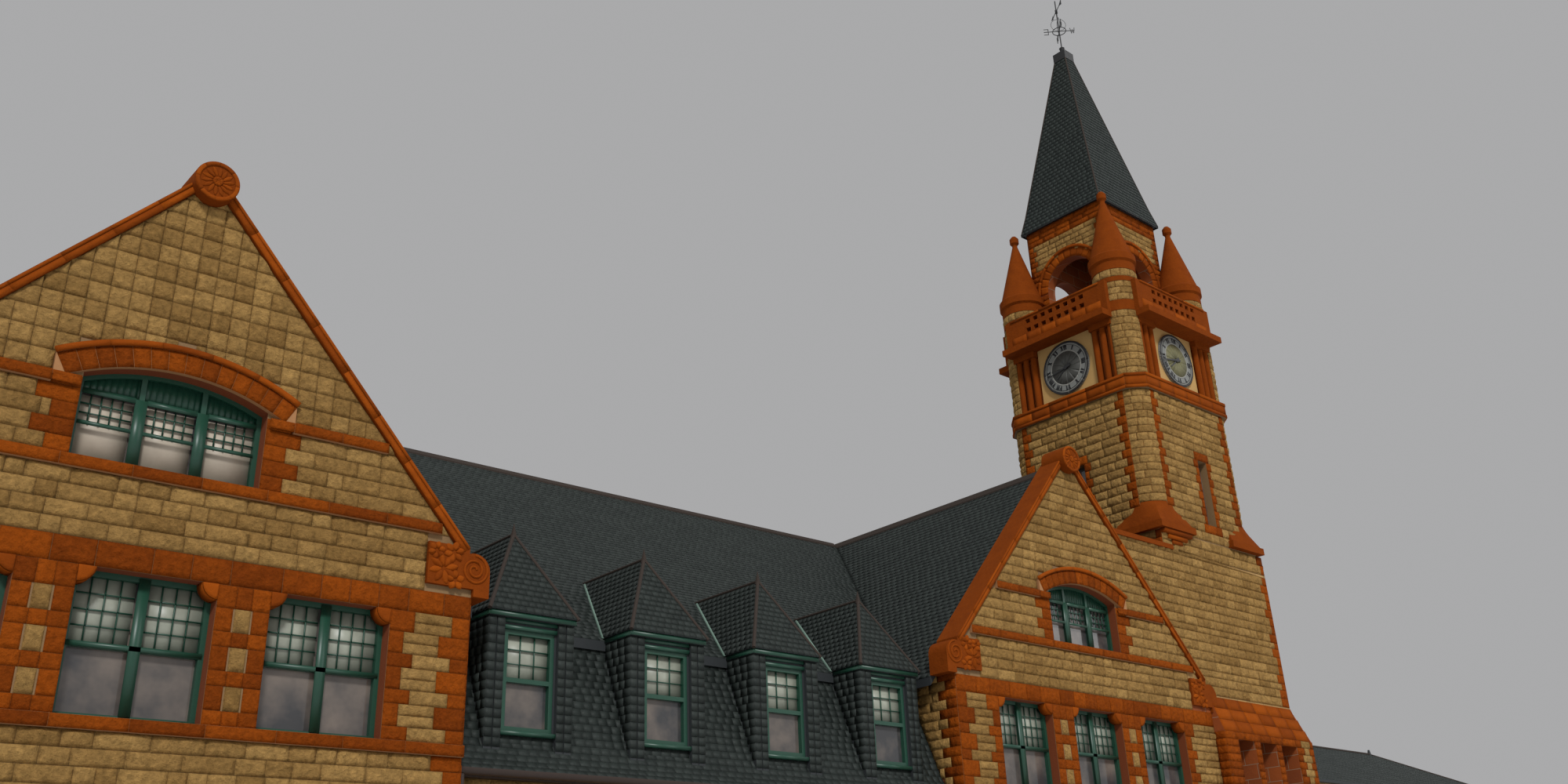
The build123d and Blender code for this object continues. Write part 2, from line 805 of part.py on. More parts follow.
def upper_windows():
    """Frames and glass of the first storey, the attic and the dormers on the street side."""
    frames, panes = [], []
    y = front + reveal
    for axis in (-pavilion_axis, pavilion_axis):
        for k in (-1, 0, 1):
            x = axis + k * window_spacing
            frames.append(sash_frame(x, paired_half, sill_high, window_head, y, rail_height))
            panes.append(pane(box(x - paired_half, x + paired_half, y, y + 200, sill_high, window_head), y))
        frames.append(attic_frame(axis, y))
        panes.append(pane(attic_light(axis, y, y + 200), y))
    y = front + dormer_face_y + 5
    for x in bays():
        rail = (dormer_light_sill + dormer_light_head) / 2
        frames.append(sash_frame(x, dormer_light_half, dormer_light_sill, dormer_light_head, y, rail, False))
        panes.append(pane(box(x - dormer_light_half, x + dormer_light_half, y, y + 200, dormer_light_sill,
                              dormer_light_head), y))
    return frames, panes


def side_windows(side):
    """Frames and glass of the first storey in a pavilion's outer side wall."""
    frames, panes = [], []
    w = frame_width
    for y in left_bays() if side < 0 else right_bays():
        near = pavilion_axis + pavilion_half - reveal - frame_depth
        frame = side_box(0, side, near, near + frame_depth, y - paired_half, y + paired_half, sill_high,
                         window_head)
        for low, high in ((sill_high + w, rail_height - w / 2), (rail_height + w / 2, window_head - w)):
            for c, d in ((y - paired_half + w, y - w / 2), (y + w / 2, y + paired_half - w)):
                frame -= side_box(0, side, near - 1, near + frame_depth + 1, c, d, low, high)
        frames.append(frame)
        panes.append(side_box(0, side, near - glass_thickness, near, y - paired_half, y + paired_half,
                              sill_high, window_head))
    return frames, panes


def side_ground_windows(side):
    """Frames and glass of the ground storey in a pavilion's outer side wall."""
    frames, panes = [], []
    w = frame_width
    near = pavilion_half - reveal - frame_depth
    for y in left_bays() if side < 0 else right_bays():
        light = side_round_light(side * pavilion_axis, side, y)
        slab = side_box(side * pavilion_axis, side, near, near + frame_depth, -far, far, 0, far)
        smaller = side_box(side * pavilion_axis, side, near - 1, near + frame_depth + 1,
                           y - small_light_half + w, y + small_light_half - w, small_light_sill + w,
                           small_light_spring - w)
        frames.append((light & slab) - smaller)
        panes.append(light & side_box(side * pavilion_axis, side, near - glass_thickness, near, -far, far,
                                      0, far))
    return frames, panes


def ground_windows():
    """Frames and glass of the street side's ground storey."""
    frames, panes = [], []
    spots = [(axis + side * side_light_offset, small_light_half, front)
             for axis in (-pavilion_axis, pavilion_axis) for side in (-1, 1)]
    spots += [(x, range_light_half, front + range_setback) for x in bays()]
    w = frame_width
    for x, half, face in spots:
        y = face + reveal
        outer = round_light(x, half, small_light_sill, small_light_spring, y, y + frame_depth)
        inner = round_light(x, half - w, small_light_sill + w, small_light_spring, y - 1, y + frame_depth + 1)
        bar = box(x - half, x + half, y, y + frame_depth, small_light_spring - w, small_light_spring)
        frames.append(outer - inner + (bar & outer))
        panes.append(pane(round_light(x, half, small_light_sill, small_light_spring, y, y + 200), y))
    return frames, panes


def portal(axis):
    """A portal's frame with its fanlight, and a pair of door leaves below it."""
    y, w = front + reveal, frame_width * 1.4
    outer = round_light(axis, portal_radius, 0, portal_spring, y, y + frame_depth)
    frame = outer - round_light(axis, portal_radius - w, -1, portal_spring, y - 1, y + frame_depth + 1)
    frame += outer & box(axis - portal_radius, axis + portal_radius, y, y + frame_depth, door_height,
                         door_height + w)
    light = round_light(axis, portal_radius, 0, portal_spring, y, y + 200)
    glass = pane(light, y) - box(-far, far, -far, far, 0, door_height)
    leaves = [side_box(axis, side, 2, portal_radius - w, y + 10, y + 10 + door_thickness, 5, door_height)
              for side in (-1, 1)]
    return frame, glass, leaves


def save_windows():
    frames, panes = upper_windows()
    frames += [back_copy(piece) for piece in frames]
    panes += [back_copy(piece) for piece in panes]
    ground_frames, ground_panes = ground_windows()
    doors = []
    for axis in (-pavilion_axis, pavilion_axis):
        frame, glass, leaves = portal(axis)
        ground_frames.append(frame)
        ground_panes.append(glass)
        doors += leaves
    ground_frames += [back_copy(piece) for piece in ground_frames]
    ground_panes += [back_copy(piece) for piece in ground_panes]
    for side in (-1, 1):
        more_frames, more_panes = side_windows(side)
        frames += more_frames
        panes += more_panes
        more_frames, more_panes = side_ground_windows(side)
        ground_frames += more_frames
        ground_panes += more_panes
    wing_frames, wing_panes = wing_windows()
    save("windows", frames + ground_frames + wing_frames)
    save("window_glass", panes + ground_panes + wing_panes + tower_glass())
    save("doors", doors + [back_copy(piece) for piece in doors])


# Tower

def tower_box(half, z0, z1):
    """A square block about the tower's axis."""
    return box(tower_x - half, tower_x + half, tower_y - half, tower_y + half, z0, z1)


def notched(half, edge, z0, z1):
    """A square block about the tower's axis with its four corners cut back."""
    across = box(tower_x - half, tower_x + half, tower_y - edge, tower_y + edge, z0, z1)
    along = box(tower_x - edge, tower_x + edge, tower_y - half, tower_y + half, z0, z1)
    return across + along


def corners():
    return [(sx, sy) for sx in (-1, 1) for sy in (-1, 1)]


def on_four_sides(piece):
    """A piece of the tower's street face, repeated on its other three."""
    axis = Axis((tower_x, tower_y, 0), (0, 0, 1))
    return [piece.rotate(axis, angle) for angle in (0, 90, 180, 270)]


def tower_plinth():
    """The splayed base of the tower, as a full block with weathered edges."""
    y0 = front - base_reach
    body = box(base_left, base_right, y0, tower_back, 0, weathering_top)
    body -= outline_yz([(y0, base_top), (y0 - 10, base_top), (y0 - 10, weathering_top + 10),
                        (front, weathering_top + 10), (front, weathering_top)], base_left - 1, base_right + 1)
    body -= outline_xz([(base_right, base_top), (base_right + 10, base_top),
                        (base_right + 10, weathering_top + 10), (lower_right, weathering_top + 10),
                        (lower_right, weathering_top)], y0 - 1, tower_back + 1)
    return body


def tower_base():
    """The tower's base, hollow, with three slits in its street front."""
    body = box(tower_left, lower_right, front, tower_back, 0, weathering_top) + tower_plinth()
    body -= box(tower_left + tower_wall, lower_right - tower_wall, front + tower_wall,
                tower_back - tower_wall, -1, weathering_top + 1)
    for k in (-1, 0, 1):
        x = base_slit_middle + k * base_slit_pitch
        body -= box(x - base_slit_half, x + base_slit_half, front - base_reach - 1, front + tower_wall + 1,
                    base_slit_low, base_slit_high)
    return body


def tower_lower():
    """The square lower shaft, whose street face is flush with the gable beside it."""
    body = box(tower_left, lower_right, front, tower_back, weathering_top, corbel_low)
    body -= box(tower_left + tower_wall, lower_right - tower_wall, front + tower_wall,
                tower_back - tower_wall, weathering_top - 1, corbel_low + 1)
    drop = lower_right - tower_right
    return body - outline_xz([(lower_right, corbel_low - drop), (lower_right + 1, corbel_low + 1),
                              (tower_right, corbel_low + 1), (tower_right, corbel_low)],
                             front - 1, tower_back + 1)


def slits():
    """The narrow lights of the upper shaft, one through each face."""
    offset = (slit_left + slit_right) / 2 - tower_x
    half = (slit_right - slit_left) / 2
    reach = tower_half + 10
    across = box(tower_x - reach, tower_x + reach, tower_y - half, tower_y + half, slit_low, slit_high)
    along = box(tower_x + offset - half, tower_x + offset + half, tower_y - reach, tower_y + reach, slit_low,
                slit_high)
    return across + along


def tower_upper():
    """The upper shaft with cut-back corners, and its slits."""
    body = notched(tower_half, face_half, corbel_low, band_low)
    body -= notched(tower_half - tower_wall, pier_inner, corbel_low - 1, band_low + 1)
    return body - slits()


def tower_band():
    """The projecting band, with splayed corners that wrap round the turrets."""
    half = tower_half + band_proud
    cut = 2 * turret_offset + (turret_radius + band_proud) * math.sqrt(2) - half
    points = []
    for sx, sy in ((1, 1), (-1, 1), (-1, -1), (1, -1)):
        pair = [(sx * half, sy * cut), (sx * cut, sy * half)]
        points += pair if sx * sy > 0 else pair[::-1]
    body = outline_xy([(tower_x + x, tower_y + y) for x, y in points], band_low, band_high)
    return body - notched(tower_half - tower_wall, pier_inner, band_low - 1, band_high + 1)


def turret_lower(sx, sy):
    """A corner turret below the band: a corbel that turns from square to round, and its shaft."""
    x, y = tower_x + sx * turret_offset, tower_y + sy * turret_offset
    slab = box(x - corbel_half, x + corbel_half, y - corbel_half, y + corbel_half, corbel_low,
               corbel_slab_top)
    side = 2 * (corbel_half - corbel_step)
    square = Pos(x, y, corbel_slab_top) * Rectangle(side, side)
    ring = Pos(x, y, turret_foot) * Circle(turret_radius)
    flare = loft([square.face(), ring.face()])
    body = slab + flare + upright(x, y, turret_radius, turret_foot, band_low)
    return body - notched(tower_half, face_half, corbel_low - 1, band_low + 1)


def turret_upper(sx, sy):
    """A corner turret above the band: banded shaft, moulded cap, cone and knob."""
    x, y = tower_x + sx * turret_offset, tower_y + sy * turret_offset
    r, g = turret_radius, turret_ring
    section = [(r + g, cornice_high), (r + g, lower_ring_top), (r, lower_ring_top),
               (r, upper_ring), (r + g, upper_ring), (r + g, upper_ring_top), (r, upper_ring_top),
               (r, turret_collar), (r + g, turret_collar), (r + g, turret_neck),
               (turret_cap_radius, turret_neck + cap_rise), (turret_cap_radius, turret_cap),
               (turret_cap_radius - cap_rise, turret_cap + cap_rise), (cone_top_radius, cone_top),
               (cone_top_radius, cone_top + 40), (knob_radius, cone_top + 90), (knob_radius, knob_top - 60),
               (knob_radius / 2, knob_top)]
    lower = upright(x, y, r, band_high, cornice_high)
    lower -= notched(tower_half, face_half, band_high - 1, cornice_high + 1)
    upper = Pos(x, y, 0) * turned(section)
    return lower + upper - tower_box(belfry_half, cornice_high - 1, far)


def clock_walls():
    """The clock stage: recessed faces between the turrets, with a panel for each dial."""
    body = notched(tower_half - clock_inset, face_half, band_high, cornice_low)
    panel = box(tower_x - panel_half, tower_x + panel_half, front + panel_inset, front + clock_inset,
                band_high, cornice_low)
    for piece in on_four_sides(panel):
        body += piece
    body -= notched(tower_half - clock_inset - tower_wall, pier_inner, band_high - 1, cornice_low + 1)
    for piece in on_four_sides(drum(tower_x, dial_height, dial_bore, front - 10, front + 2 * tower_wall)):
        body -= piece
    return body


def colonnettes():
    """The clustered shafts at both sides of one dial, each group under its own capital."""
    y = front + clock_inset - colonnette_radius
    half = colonnette_pitch + colonnette_radius + 10
    pieces = []
    for side in (-1, 1):
        middle = tower_x + side * colonnette_group
        group = box(middle - half, middle + half, front - capital_proud, front + clock_inset,
                    cornice_low - capital_height, cornice_low)
        for k in (-1, 0, 1):
            group += upright(middle + k * colonnette_pitch, y, colonnette_radius, band_high,
                             cornice_low - capital_height)
        pieces.append(group)
    return pieces


def dial():
    """A clock dial on its panel, with a bore for the arbors."""
    y0, y1 = front + panel_inset - dial_thickness, front + panel_inset
    bore = drum(tower_x, dial_height, dial_bore, y0 - 1, y1 + 1)
    return drum(tower_x, dial_height, dial_radius, y0, y1) - bore


def clock_hand(length, angle, y0, hub, arbor, depth, bore):
    """One clock hand with its arbor, turned clockwise from the top as seen from outside."""
    y1 = y0 + hand_thickness
    points = [(-hand_width / 2, -tail_length), (hand_width / 2, -tail_length), (hand_width / 4, length),
              (-hand_width / 4, length)]
    body = outline_xz([(tower_x + x, dial_height + z) for x, z in points], y0, y1)
    body += drum(tower_x, dial_height, hub, y0, y1)
    body += drum(tower_x, dial_height, arbor, y0, y0 + depth)
    if bore:
        body -= drum(tower_x, dial_height, bore, y0 - 1, y0 + depth + 1)
    return body.rotate(Axis((tower_x, 0, dial_height), (0, 1, 0)), angle)


def save_clock():
    face = front + panel_inset - dial_thickness
    hour_y = face - hand_gap - hand_thickness
    minute_y = hour_y - hand_gap - hand_thickness
    minute = clock_hand(minute_length, shown_hour % 1 * 360, minute_y, hour_sleeve + hub_rim, minute_arbor,
                        minute_depth, 0)
    hour = clock_hand(hour_length, shown_hour / 12 * 360, hour_y, hour_sleeve + hub_rim, hour_sleeve,
                      hour_depth, hour_bore)
    save("clock_stage_walls", clock_walls())
    save("clock_colonnettes", [piece for group in colonnettes() for piece in on_four_sides(group)])
    save("dials", on_four_sides(dial()))
    names = ("front", "right", "back", "left")
    for name, minute_piece, hour_piece in zip(names, on_four_sides(minute), on_four_sides(hour)):
        save(name + "_minute_hand", minute_piece)
        save(name + "_hour_hand", hour_piece)


def cornice():
    """The cornice slab, which is also the belfry's floor."""
    core = notched(tower_half, face_half, cornice_low, cornice_high)
    reach = tower_half + cornice_proud
    body = core + box(tower_x - cornice_half, tower_x + cornice_half, tower_y - reach, tower_y + reach,
                      cornice_low, cornice_high)
    body += box(tower_x - reach, tower_x + reach, tower_y - cornice_half, tower_y + cornice_half, cornice_low,
                cornice_high)
    for sx, sy in corners():
        body -= upright(tower_x + sx * turret_offset, tower_y + sy * turret_offset, turret_radius,
                        cornice_low, cornice_high) - core
    return body


def parapet():
    """One parapet with two rows of square holes, between two turrets."""
    y0 = front - parapet_proud
    body = box(tower_x - cornice_half, tower_x + cornice_half, y0, y0 + parapet_thickness, cornice_high,
               parapet_top)
    for k in range(hole_count):
        x = tower_x + (k - (hole_count - 1) / 2) * hole_pitch
        for z in (lower_hole_height, upper_hole_height):
            body -= box(x - hole_width / 2, x + hole_width / 2, y0 - 1, y0 + parapet_thickness + 1,
                        z - hole_height / 2, z + hole_height / 2)
    for side in (-1, 1):
        body -= upright(tower_x + side * turret_offset, tower_y - turret_offset, turret_radius + turret_ring,
                        cornice_high - 1, parapet_top + 1)
    return max(body.solids(), key=lambda solid: solid.volume)


def belfry_walls():
    """The open belfry, with a round arch through each face."""
    body = tower_box(belfry_half, cornice_high, belfry_top)
    body -= tower_box(belfry_half - belfry_wall, cornice_high - 1, belfry_top + 1)
    arch = round_light(tower_x, belfry_arch_radius, belfry_sill, belfry_spring, tower_y - 2 * belfry_half,
                       tower_y + 2 * belfry_half)
    for angle in (0, 90):
        body -= arch.rotate(Axis((tower_x, tower_y, 0), (0, 0, 1)), angle)
    return body


def frustum(half_low, z_low, half_high, z_high):
    """A square pyramid's slice about the tower's axis."""
    low = Pos(tower_x, tower_y, z_low) * Rectangle(2 * half_low, 2 * half_low)
    high = Pos(tower_x, tower_y, z_high) * Rectangle(2 * half_high, 2 * half_high)
    return loft([low.face(), high.face()], ruled=True)


def spire():
    """The slated spire, hollow, with a slight kick at its eaves."""
    body = frustum(spire_eave_half, belfry_top, spire_bell_half, spire_bell_height)
    body += frustum(spire_bell_half, spire_bell_height, spire_top_half, spire_top)
    inner = spire_bell_half - 1.5 * spire_shell
    body -= frustum(belfry_half - belfry_wall, belfry_top, inner, spire_bell_height)
    return body - frustum(inner, spire_bell_height, spire_shell / 2, spire_hollow_top)


def vane_mast():
    """The spire's cap with its pedestal, the vane's rod and the fixed cross arms."""
    body = tower_box(cap_half, spire_top, cap_top)
    collar = pointer_height - collar_drop
    rod = vane_rod_radius
    mast = [(pedestal_radius, cap_top), (pedestal_radius, cap_top + 50), (pedestal_radius / 2, cap_top + 110),
            (pedestal_radius * 0.7, pedestal_top - 50), (rod, pedestal_top), (rod, collar - 30),
            (rod * 2, collar - 20), (rod * 2, collar - 5), (rod, collar), (rod, vane_top)]
    body += Pos(tower_x, tower_y, 0) * turned(mast)
    for angle in (arm_turn_deg, arm_turn_deg + 90):
        body += Pos(tower_x, tower_y, arm_height) * Rot(0, 0, angle) * Rot(0, 90, 0) * Cylinder(arm_radius,
                                                                                                2 * arm_reach)
    return body + Pos(tower_x, tower_y, arm_height) * Torus(ring_radius, arm_radius)


def vane_pointer():
    """The turning arrow with its hub and tail, balanced on the rod."""
    bore = vane_rod_radius + pointer_gap
    body = Pos(0, 0, pointer_height) * Cylinder(bore + 14, 64)
    body += Pos(0, 0, pointer_height) * Rot(0, 90, 0) * Cylinder(arm_radius, 2 * pointer_reach - 60)
    body += outline_xz([(pointer_reach - 120, pointer_height - 50), (pointer_reach, pointer_height),
                        (pointer_reach - 120, pointer_height + 50)], -5, 5)
    body += outline_xz([(-pointer_reach, pointer_height - 70), (-pointer_reach + 150, pointer_height),
                        (-pointer_reach, pointer_height + 70)], -5, 5)
    body -= Pos(0, 0, pointer_height) * Cylinder(bore, 80)
    return body.rotate(Axis.Z, pointer_bearing_deg).moved(Location((tower_x, tower_y, 0)))


def tower_glass():
    """Glass in the tower's slits."""
    panes = []
    y = front + reveal
    for k in (-1, 0, 1):
        x = base_slit_middle + k * base_slit_pitch
        panes.append(box(x - base_slit_half, x + base_slit_half, y, y + glass_thickness, base_slit_low,
                         base_slit_high))
    sheet = slits() & notched(tower_half - reveal, face_half, slit_low, slit_high)
    sheet -= notched(tower_half - reveal - 2 * glass_thickness, face_half - 1, slit_low - 1, slit_high + 1)
    return panes + list(sheet.solids())


def save_tower():
    save("tower_base", tower_base())
    save("tower_lower_walls", tower_lower())
    save("tower_upper_walls", tower_upper() + tower_band())
    save("corner_turrets", [turret(sx, sy) for turret in (turret_lower, turret_upper)
                            for sx, sy in corners()])


def save_crown():
    save("tower_cornice", cornice())
    save("parapets", on_four_sides(parapet()))
    save("belfry_walls", belfry_walls())
    save("spire", spire())
    save("vane_mast", vane_mast())
    save("vane_pointer", vane_pointer())


# Wing

def wing_bays():
    """Centres of the wing's windows."""
    middle = (base_right + wing_right) / 2
    return [middle + (k - (wing_bay_count - 1) / 2) * wing_bay_pitch for k in range(wing_bay_count)]


def wing_walls():
    """The low wing's walls, open to the tower at their left end."""
    y0, y1 = front + wing_setback, front + wing_setback + wing_depth
    body = box(base_right, wing_right, y0, y1, 0, wing_wall_top)
    body -= box(base_right - 1, wing_right - wall, y0 + wall, y1 - wall, -1, wing_wall_top + 1)
    body += box(base_right, base_right + wall, tower_back, y1, 0, wing_wall_top)
    for x in wing_bays():
        body -= box(x - range_light_half, x + range_light_half, y0 - 1, y1 + 1, wing_light_sill,
                    wing_light_head)
    return body


def wing_roof():
    """The wing's hipped roof on its wall plates, hollow inside, with a finial at the hip."""
    y0 = front + wing_setback - wing_overhang
    y1 = front + wing_setback + wing_depth + wing_overhang
    middle = (y0 + y1) / 2
    right = wing_right + wing_overhang
    hip = right - (y1 - y0) / 2
    profile = [(y0, wing_eave), (middle, wing_ridge), (y1, wing_eave), (y1, wing_wall_top),
               (y0, wing_wall_top)]
    body = outline_yz(profile, base_right, right)
    body -= outline_xz([(right, wing_eave), (hip, wing_ridge), (hip, wing_ridge + 100),
                        (right + 10, wing_ridge + 100), (right + 10, wing_eave)], y0 - 1, y1 + 1)
    inset = wing_overhang + wall - 50
    inner = [(y0 + inset, wing_wall_top - 1), (middle, wing_ridge - 1.5 * roof_thickness),
             (y1 - inset, wing_wall_top - 1)]
    hollow = outline_yz(inner, base_right + wall, right - inset)
    hollow -= outline_xz([(right - inset, wing_wall_top - 1), (hip, wing_ridge - roof_thickness),
                          (hip, wing_ridge + 100), (right, wing_ridge + 100), (right, wing_wall_top - 1)],
                         y0 - 1, y1 + 1)
    knob = Pos(hip, middle, wing_ridge + finial_height / 2 - 20) * Cone(2 * finial_radius, finial_radius,
                                                                        finial_height)
    return body - hollow + knob


def wing_windows():
    """Frames and glass along both sides of the wing."""
    y0, y1 = front + wing_setback, front + wing_setback + wing_depth
    frames, panes = [], []
    middle = (wing_light_sill + wing_light_head) / 2
    for x in wing_bays():
        for y in (y0 + reveal, y1 - reveal - frame_depth):
            frames.append(sash_frame(x, range_light_half, wing_light_sill, wing_light_head, y, middle))
            panes.append(box(x - range_light_half, x + range_light_half, y + frame_depth,
                             y + frame_depth + glass_thickness, wing_light_sill, wing_light_head))
    return frames, panes


def save_wing():
    save("wing_walls", wing_walls())
    save("wing_roof", wing_roof())


def make_parts():
    os.makedirs("parts", exist_ok=True)
    save_main_walls()
    save_floors()
    save_roofs()
    save_gable_trim()
    save_bands()
    save_dormers()
    save_windows()
    save_tower()
    save_clock()
    save_crown()
    save_wing()


make_parts()
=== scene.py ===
# %% [markdown]
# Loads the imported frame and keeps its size.

# %%
import math

import bmesh
import bpy
import numpy as np
from mathutils import Matrix, Vector


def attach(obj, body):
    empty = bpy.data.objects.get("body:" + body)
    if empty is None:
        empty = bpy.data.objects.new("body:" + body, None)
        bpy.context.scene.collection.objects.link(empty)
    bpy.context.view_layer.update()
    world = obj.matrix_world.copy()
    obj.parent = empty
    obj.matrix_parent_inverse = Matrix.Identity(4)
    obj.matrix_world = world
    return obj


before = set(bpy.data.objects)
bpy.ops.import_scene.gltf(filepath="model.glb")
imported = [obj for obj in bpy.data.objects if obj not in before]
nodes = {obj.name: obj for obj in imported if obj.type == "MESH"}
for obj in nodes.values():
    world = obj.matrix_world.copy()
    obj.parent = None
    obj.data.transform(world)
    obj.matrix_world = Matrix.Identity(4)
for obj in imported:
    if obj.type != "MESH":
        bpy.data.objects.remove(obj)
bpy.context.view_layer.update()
print("nodes", len(nodes))

# %% [markdown]
# Sizes in metres, in the model's frame.

# %%
axes = (-7.02, 7.02)
pavilion_half, range_half, front, wall = 3.22, 3.8, -5.585, 0.3
tower = Vector((11.18, -4.02, 0))
tower_half, face_half, lower_right = 1.565, 1.215, 12.915
base_left, base_right, base_out = 10.255, 13.1, 0.2
gable_slope, coping_apex, coping_drop = 1.119, 8.7, 0.1576
gable_top = coping_apex - coping_drop
shoulder_top, weathering_top = 7.44, 4.93
sill_low, sill_high, window_head, lintel_top = 2.995, 3.11, 4.405, 4.645
paired_half, window_spacing, reveal = 0.61, 1.722, 0.145
attic_half, attic_radius, attic_spring, hood_half = 0.86, 2.09, 6.19, 1.125
attic_centre = attic_spring - math.sqrt(attic_radius ** 2 - attic_half ** 2)
string_low, string_high, spring_low, spring_high = 5.265, 5.38, 6.025, 6.135
strings = ((string_low, string_high, 0.0), (spring_low, spring_high, hood_half))
ridge_top, eave_height, eave_y = 8.45, 4.635, 0.875
eave_out = (ridge_top - eave_height) / gable_slope
main_run = -front - eave_y
main_rise = (ridge_top - eave_height) / main_run
bay_centres = [(k - 1.5) * 1.8825 for k in range(4)]
band_out, arch_ring = 0.05, 0.2
lap = 0.004  # how far each slate runs on past its course
# Each light of a pavilion's ground storey: its place, half width, springing and sill.
ground_lights = ((0, 1.05, 1.25, 0.0), (-2, 0.3, 1.7, 0.5), (2, 0.3, 1.7, 0.5))
range_light, range_spring, range_sill = 0.48, 1.7, 0.5
rng = np.random.RandomState(7)
print("gable top", round(gable_top, 3), "attic arch centre", round(attic_centre, 3))

# %% [markdown]
# A small wrapper that turns shader maths into Python expressions.


# %%
class Val:
    """A socket with arithmetic."""

    def __init__(self, tree, socket):
        self.tree, self.socket = tree, socket

    def math(self, operation, *others):
        node = self.tree.nodes.new("ShaderNodeMath")
        node.operation = operation
        for slot, value in zip(node.inputs, (self,) + others):
            if isinstance(value, Val):
                self.tree.links.new(value.socket, slot)
            else:
                slot.default_value = value
        return Val(self.tree, node.outputs[0])

    def __add__(self, other):
        return self.math("ADD", other)

    def __sub__(self, other):
        return self.math("SUBTRACT", other)

    def __mul__(self, other):
        return self.math("MULTIPLY", other)

    def below(self, other):
        return self.math("LESS_THAN", other)

    def size(self):
        return self.math("ABSOLUTE")

    def clamp(self):
        return self.math("MAXIMUM", 0.0).math("MINIMUM", 1.0)


class Shader:
    """A material under construction."""

    def __init__(self, name, roughness=0.8):
        self.mat = bpy.data.materials.new(name)
        self.mat.use_nodes = True
        self.tree = self.mat.node_tree
        self.out = self.tree.nodes["Principled BSDF"]
        self.out.inputs["Roughness"].default_value = roughness
        coords = self.tree.nodes.new("ShaderNodeTexCoord")
        self.p = coords.outputs["Object"]
        split = self.tree.nodes.new("ShaderNodeSeparateXYZ")
        self.tree.links.new(self.p, split.inputs[0])
        self.x, self.y, self.z = (Val(self.tree, s) for s in split.outputs)

    def node(self, kind, **values):
        """Any other node, with its named inputs set or linked."""
        node = self.tree.nodes.new(kind)
        for key, value in values.items():
            if key in node.inputs:
                self.feed(value, node.inputs[key])
            else:
                setattr(node, key, value)
        return node

    def feed(self, value, slot):
        if isinstance(value, Val):
            value = value.socket
        if isinstance(value, bpy.types.NodeSocket):
            self.tree.links.new(value, slot)
        else:
            slot.default_value = value + (1.0,) if isinstance(value, tuple) and len(value) == 3 else value

    def gloss(self, level):
        self.out.inputs["Specular IOR Level"].default_value = level

    def noise(self, scale, detail=3.0, rough=0.55):
        node = self.node("ShaderNodeTexNoise", Scale=scale, Detail=detail, Roughness=rough, Vector=self.p)
        return Val(self.tree, node.outputs["Fac"])

    def combine(self, x, y, z=0.0):
        node = self.tree.nodes.new("ShaderNodeCombineXYZ")
        for value, slot in zip((x, y, z), node.inputs):
            self.feed(value, slot)
        return node.outputs[0]

    def tone(self):
        """The tone that each block, slate or stone carries."""
        return Val(self.tree, self.node("ShaderNodeAttribute", attribute_name="tone").outputs["Fac"])

    def mix(self, factor, a, b, mode="MIX"):
        node = self.tree.nodes.new("ShaderNodeMix")
        node.data_type, node.blend_type = "RGBA", mode
        for value, slot in ((factor, node.inputs[0]), (a, node.inputs[6]), (b, node.inputs[7])):
            self.feed(value, slot)
        return node.outputs[2]

    def shade(self, colour, amount):
        """A colour made darker or lighter by a number about 1."""
        return self.mix(1.0, colour, self.combine(amount, amount, amount), "MULTIPLY")

    def bump(self, height, strength, distance):
        return self.node("ShaderNodeBump", Strength=strength, Distance=distance, Height=height).outputs[0]

    def done(self, colour, normal=None, roughness=None):
        for value, slot in ((colour, "Base Color"), (normal, "Normal"), (roughness, "Roughness")):
            if value is not None:
                self.feed(value, self.out.inputs[slot])
        return self.mat


# %% [markdown]
# Materials.

# %%
BUFF = (0.49, 0.295, 0.10)
BUFF_DARK = (0.25, 0.138, 0.042)
RED = (0.36, 0.078, 0.006)
RED_DARK = (0.17, 0.034, 0.004)
MORTAR = (0.22, 0.13, 0.055)
RED_JOINT = (0.36, 0.17, 0.065)
WALL_JOINT = (0.32, 0.20, 0.12)
SLATE = (0.035, 0.043, 0.039)
SLATE_DARK = (0.018, 0.023, 0.021)
GREEN = (0.012, 0.06, 0.036)


def stone_material(name, light, dark, relief, fine):
    """Quarried stone whose tone changes from block to block, darker in the hollows of its rock face and
    lighter on its ridges, as painted shade and painted highlight.
    """
    s = Shader(name, 0.9)
    s.gloss(0.04)
    patch, grain = s.noise(5.0, 5.0), s.noise(90.0, 4.0)
    rock_face_and_shade = ((s.noise(17.0, 8.0, rough=0.65) - 0.5) * 1.8 + 0.5).clamp()
    colour = s.mix((s.tone() * 0.6 + patch * 0.5 - 0.1).clamp(), dark, light)
    # The rock face's height also sets the colour here: painted shade in its hollows, painted highlight on its
    # ridges.
    colour = s.shade(colour, (rock_face_and_shade * (relief * 1.1) + (1.0 - relief * 0.55)) * (grain * 0.4 + 0.8))
    return s.done(colour, s.bump(rock_face_and_shade * relief + grain * fine, 1.0, 0.05))


def ashlar_material(name, light, dark, joint_colour, course, length, relief=0.6):
    """Coursed masonry drawn by its joints, for walls without modelled blocks."""
    s = Shader(name, 0.86)
    rows = s.node("ShaderNodeTexBrick", Scale=1.0, offset=0.5, squash=1.0, Vector=s.combine(s.x + s.y, s.z))
    for key, value in (("Mortar Size", 0.006), ("Mortar Smooth", 0.2), ("Brick Width", length),
                       ("Row Height", course), ("Color1", (0, 0, 0, 1)), ("Color2", (1, 1, 1, 1))):
        rows.inputs[key].default_value = value
    joint = Val(s.tree, rows.outputs["Fac"])
    stone = Val(s.tree, s.node("ShaderNodeSeparateColor", Color=rows.outputs["Color"]).outputs[0])
    patch, grain = s.noise(3.0, 5.0), s.noise(80.0, 4.0)
    colour = s.mix((stone * 0.5 + patch * 0.6 - 0.05).clamp(), dark, light)
    colour = s.mix(joint, s.shade(colour, grain * 0.5 + 0.75), joint_colour)
    height = s.noise(22.0, 6.0, rough=0.6) * relief - joint * 0.8 + grain * 0.1
    return s.done(colour, s.bump(height, 0.8, 0.015))


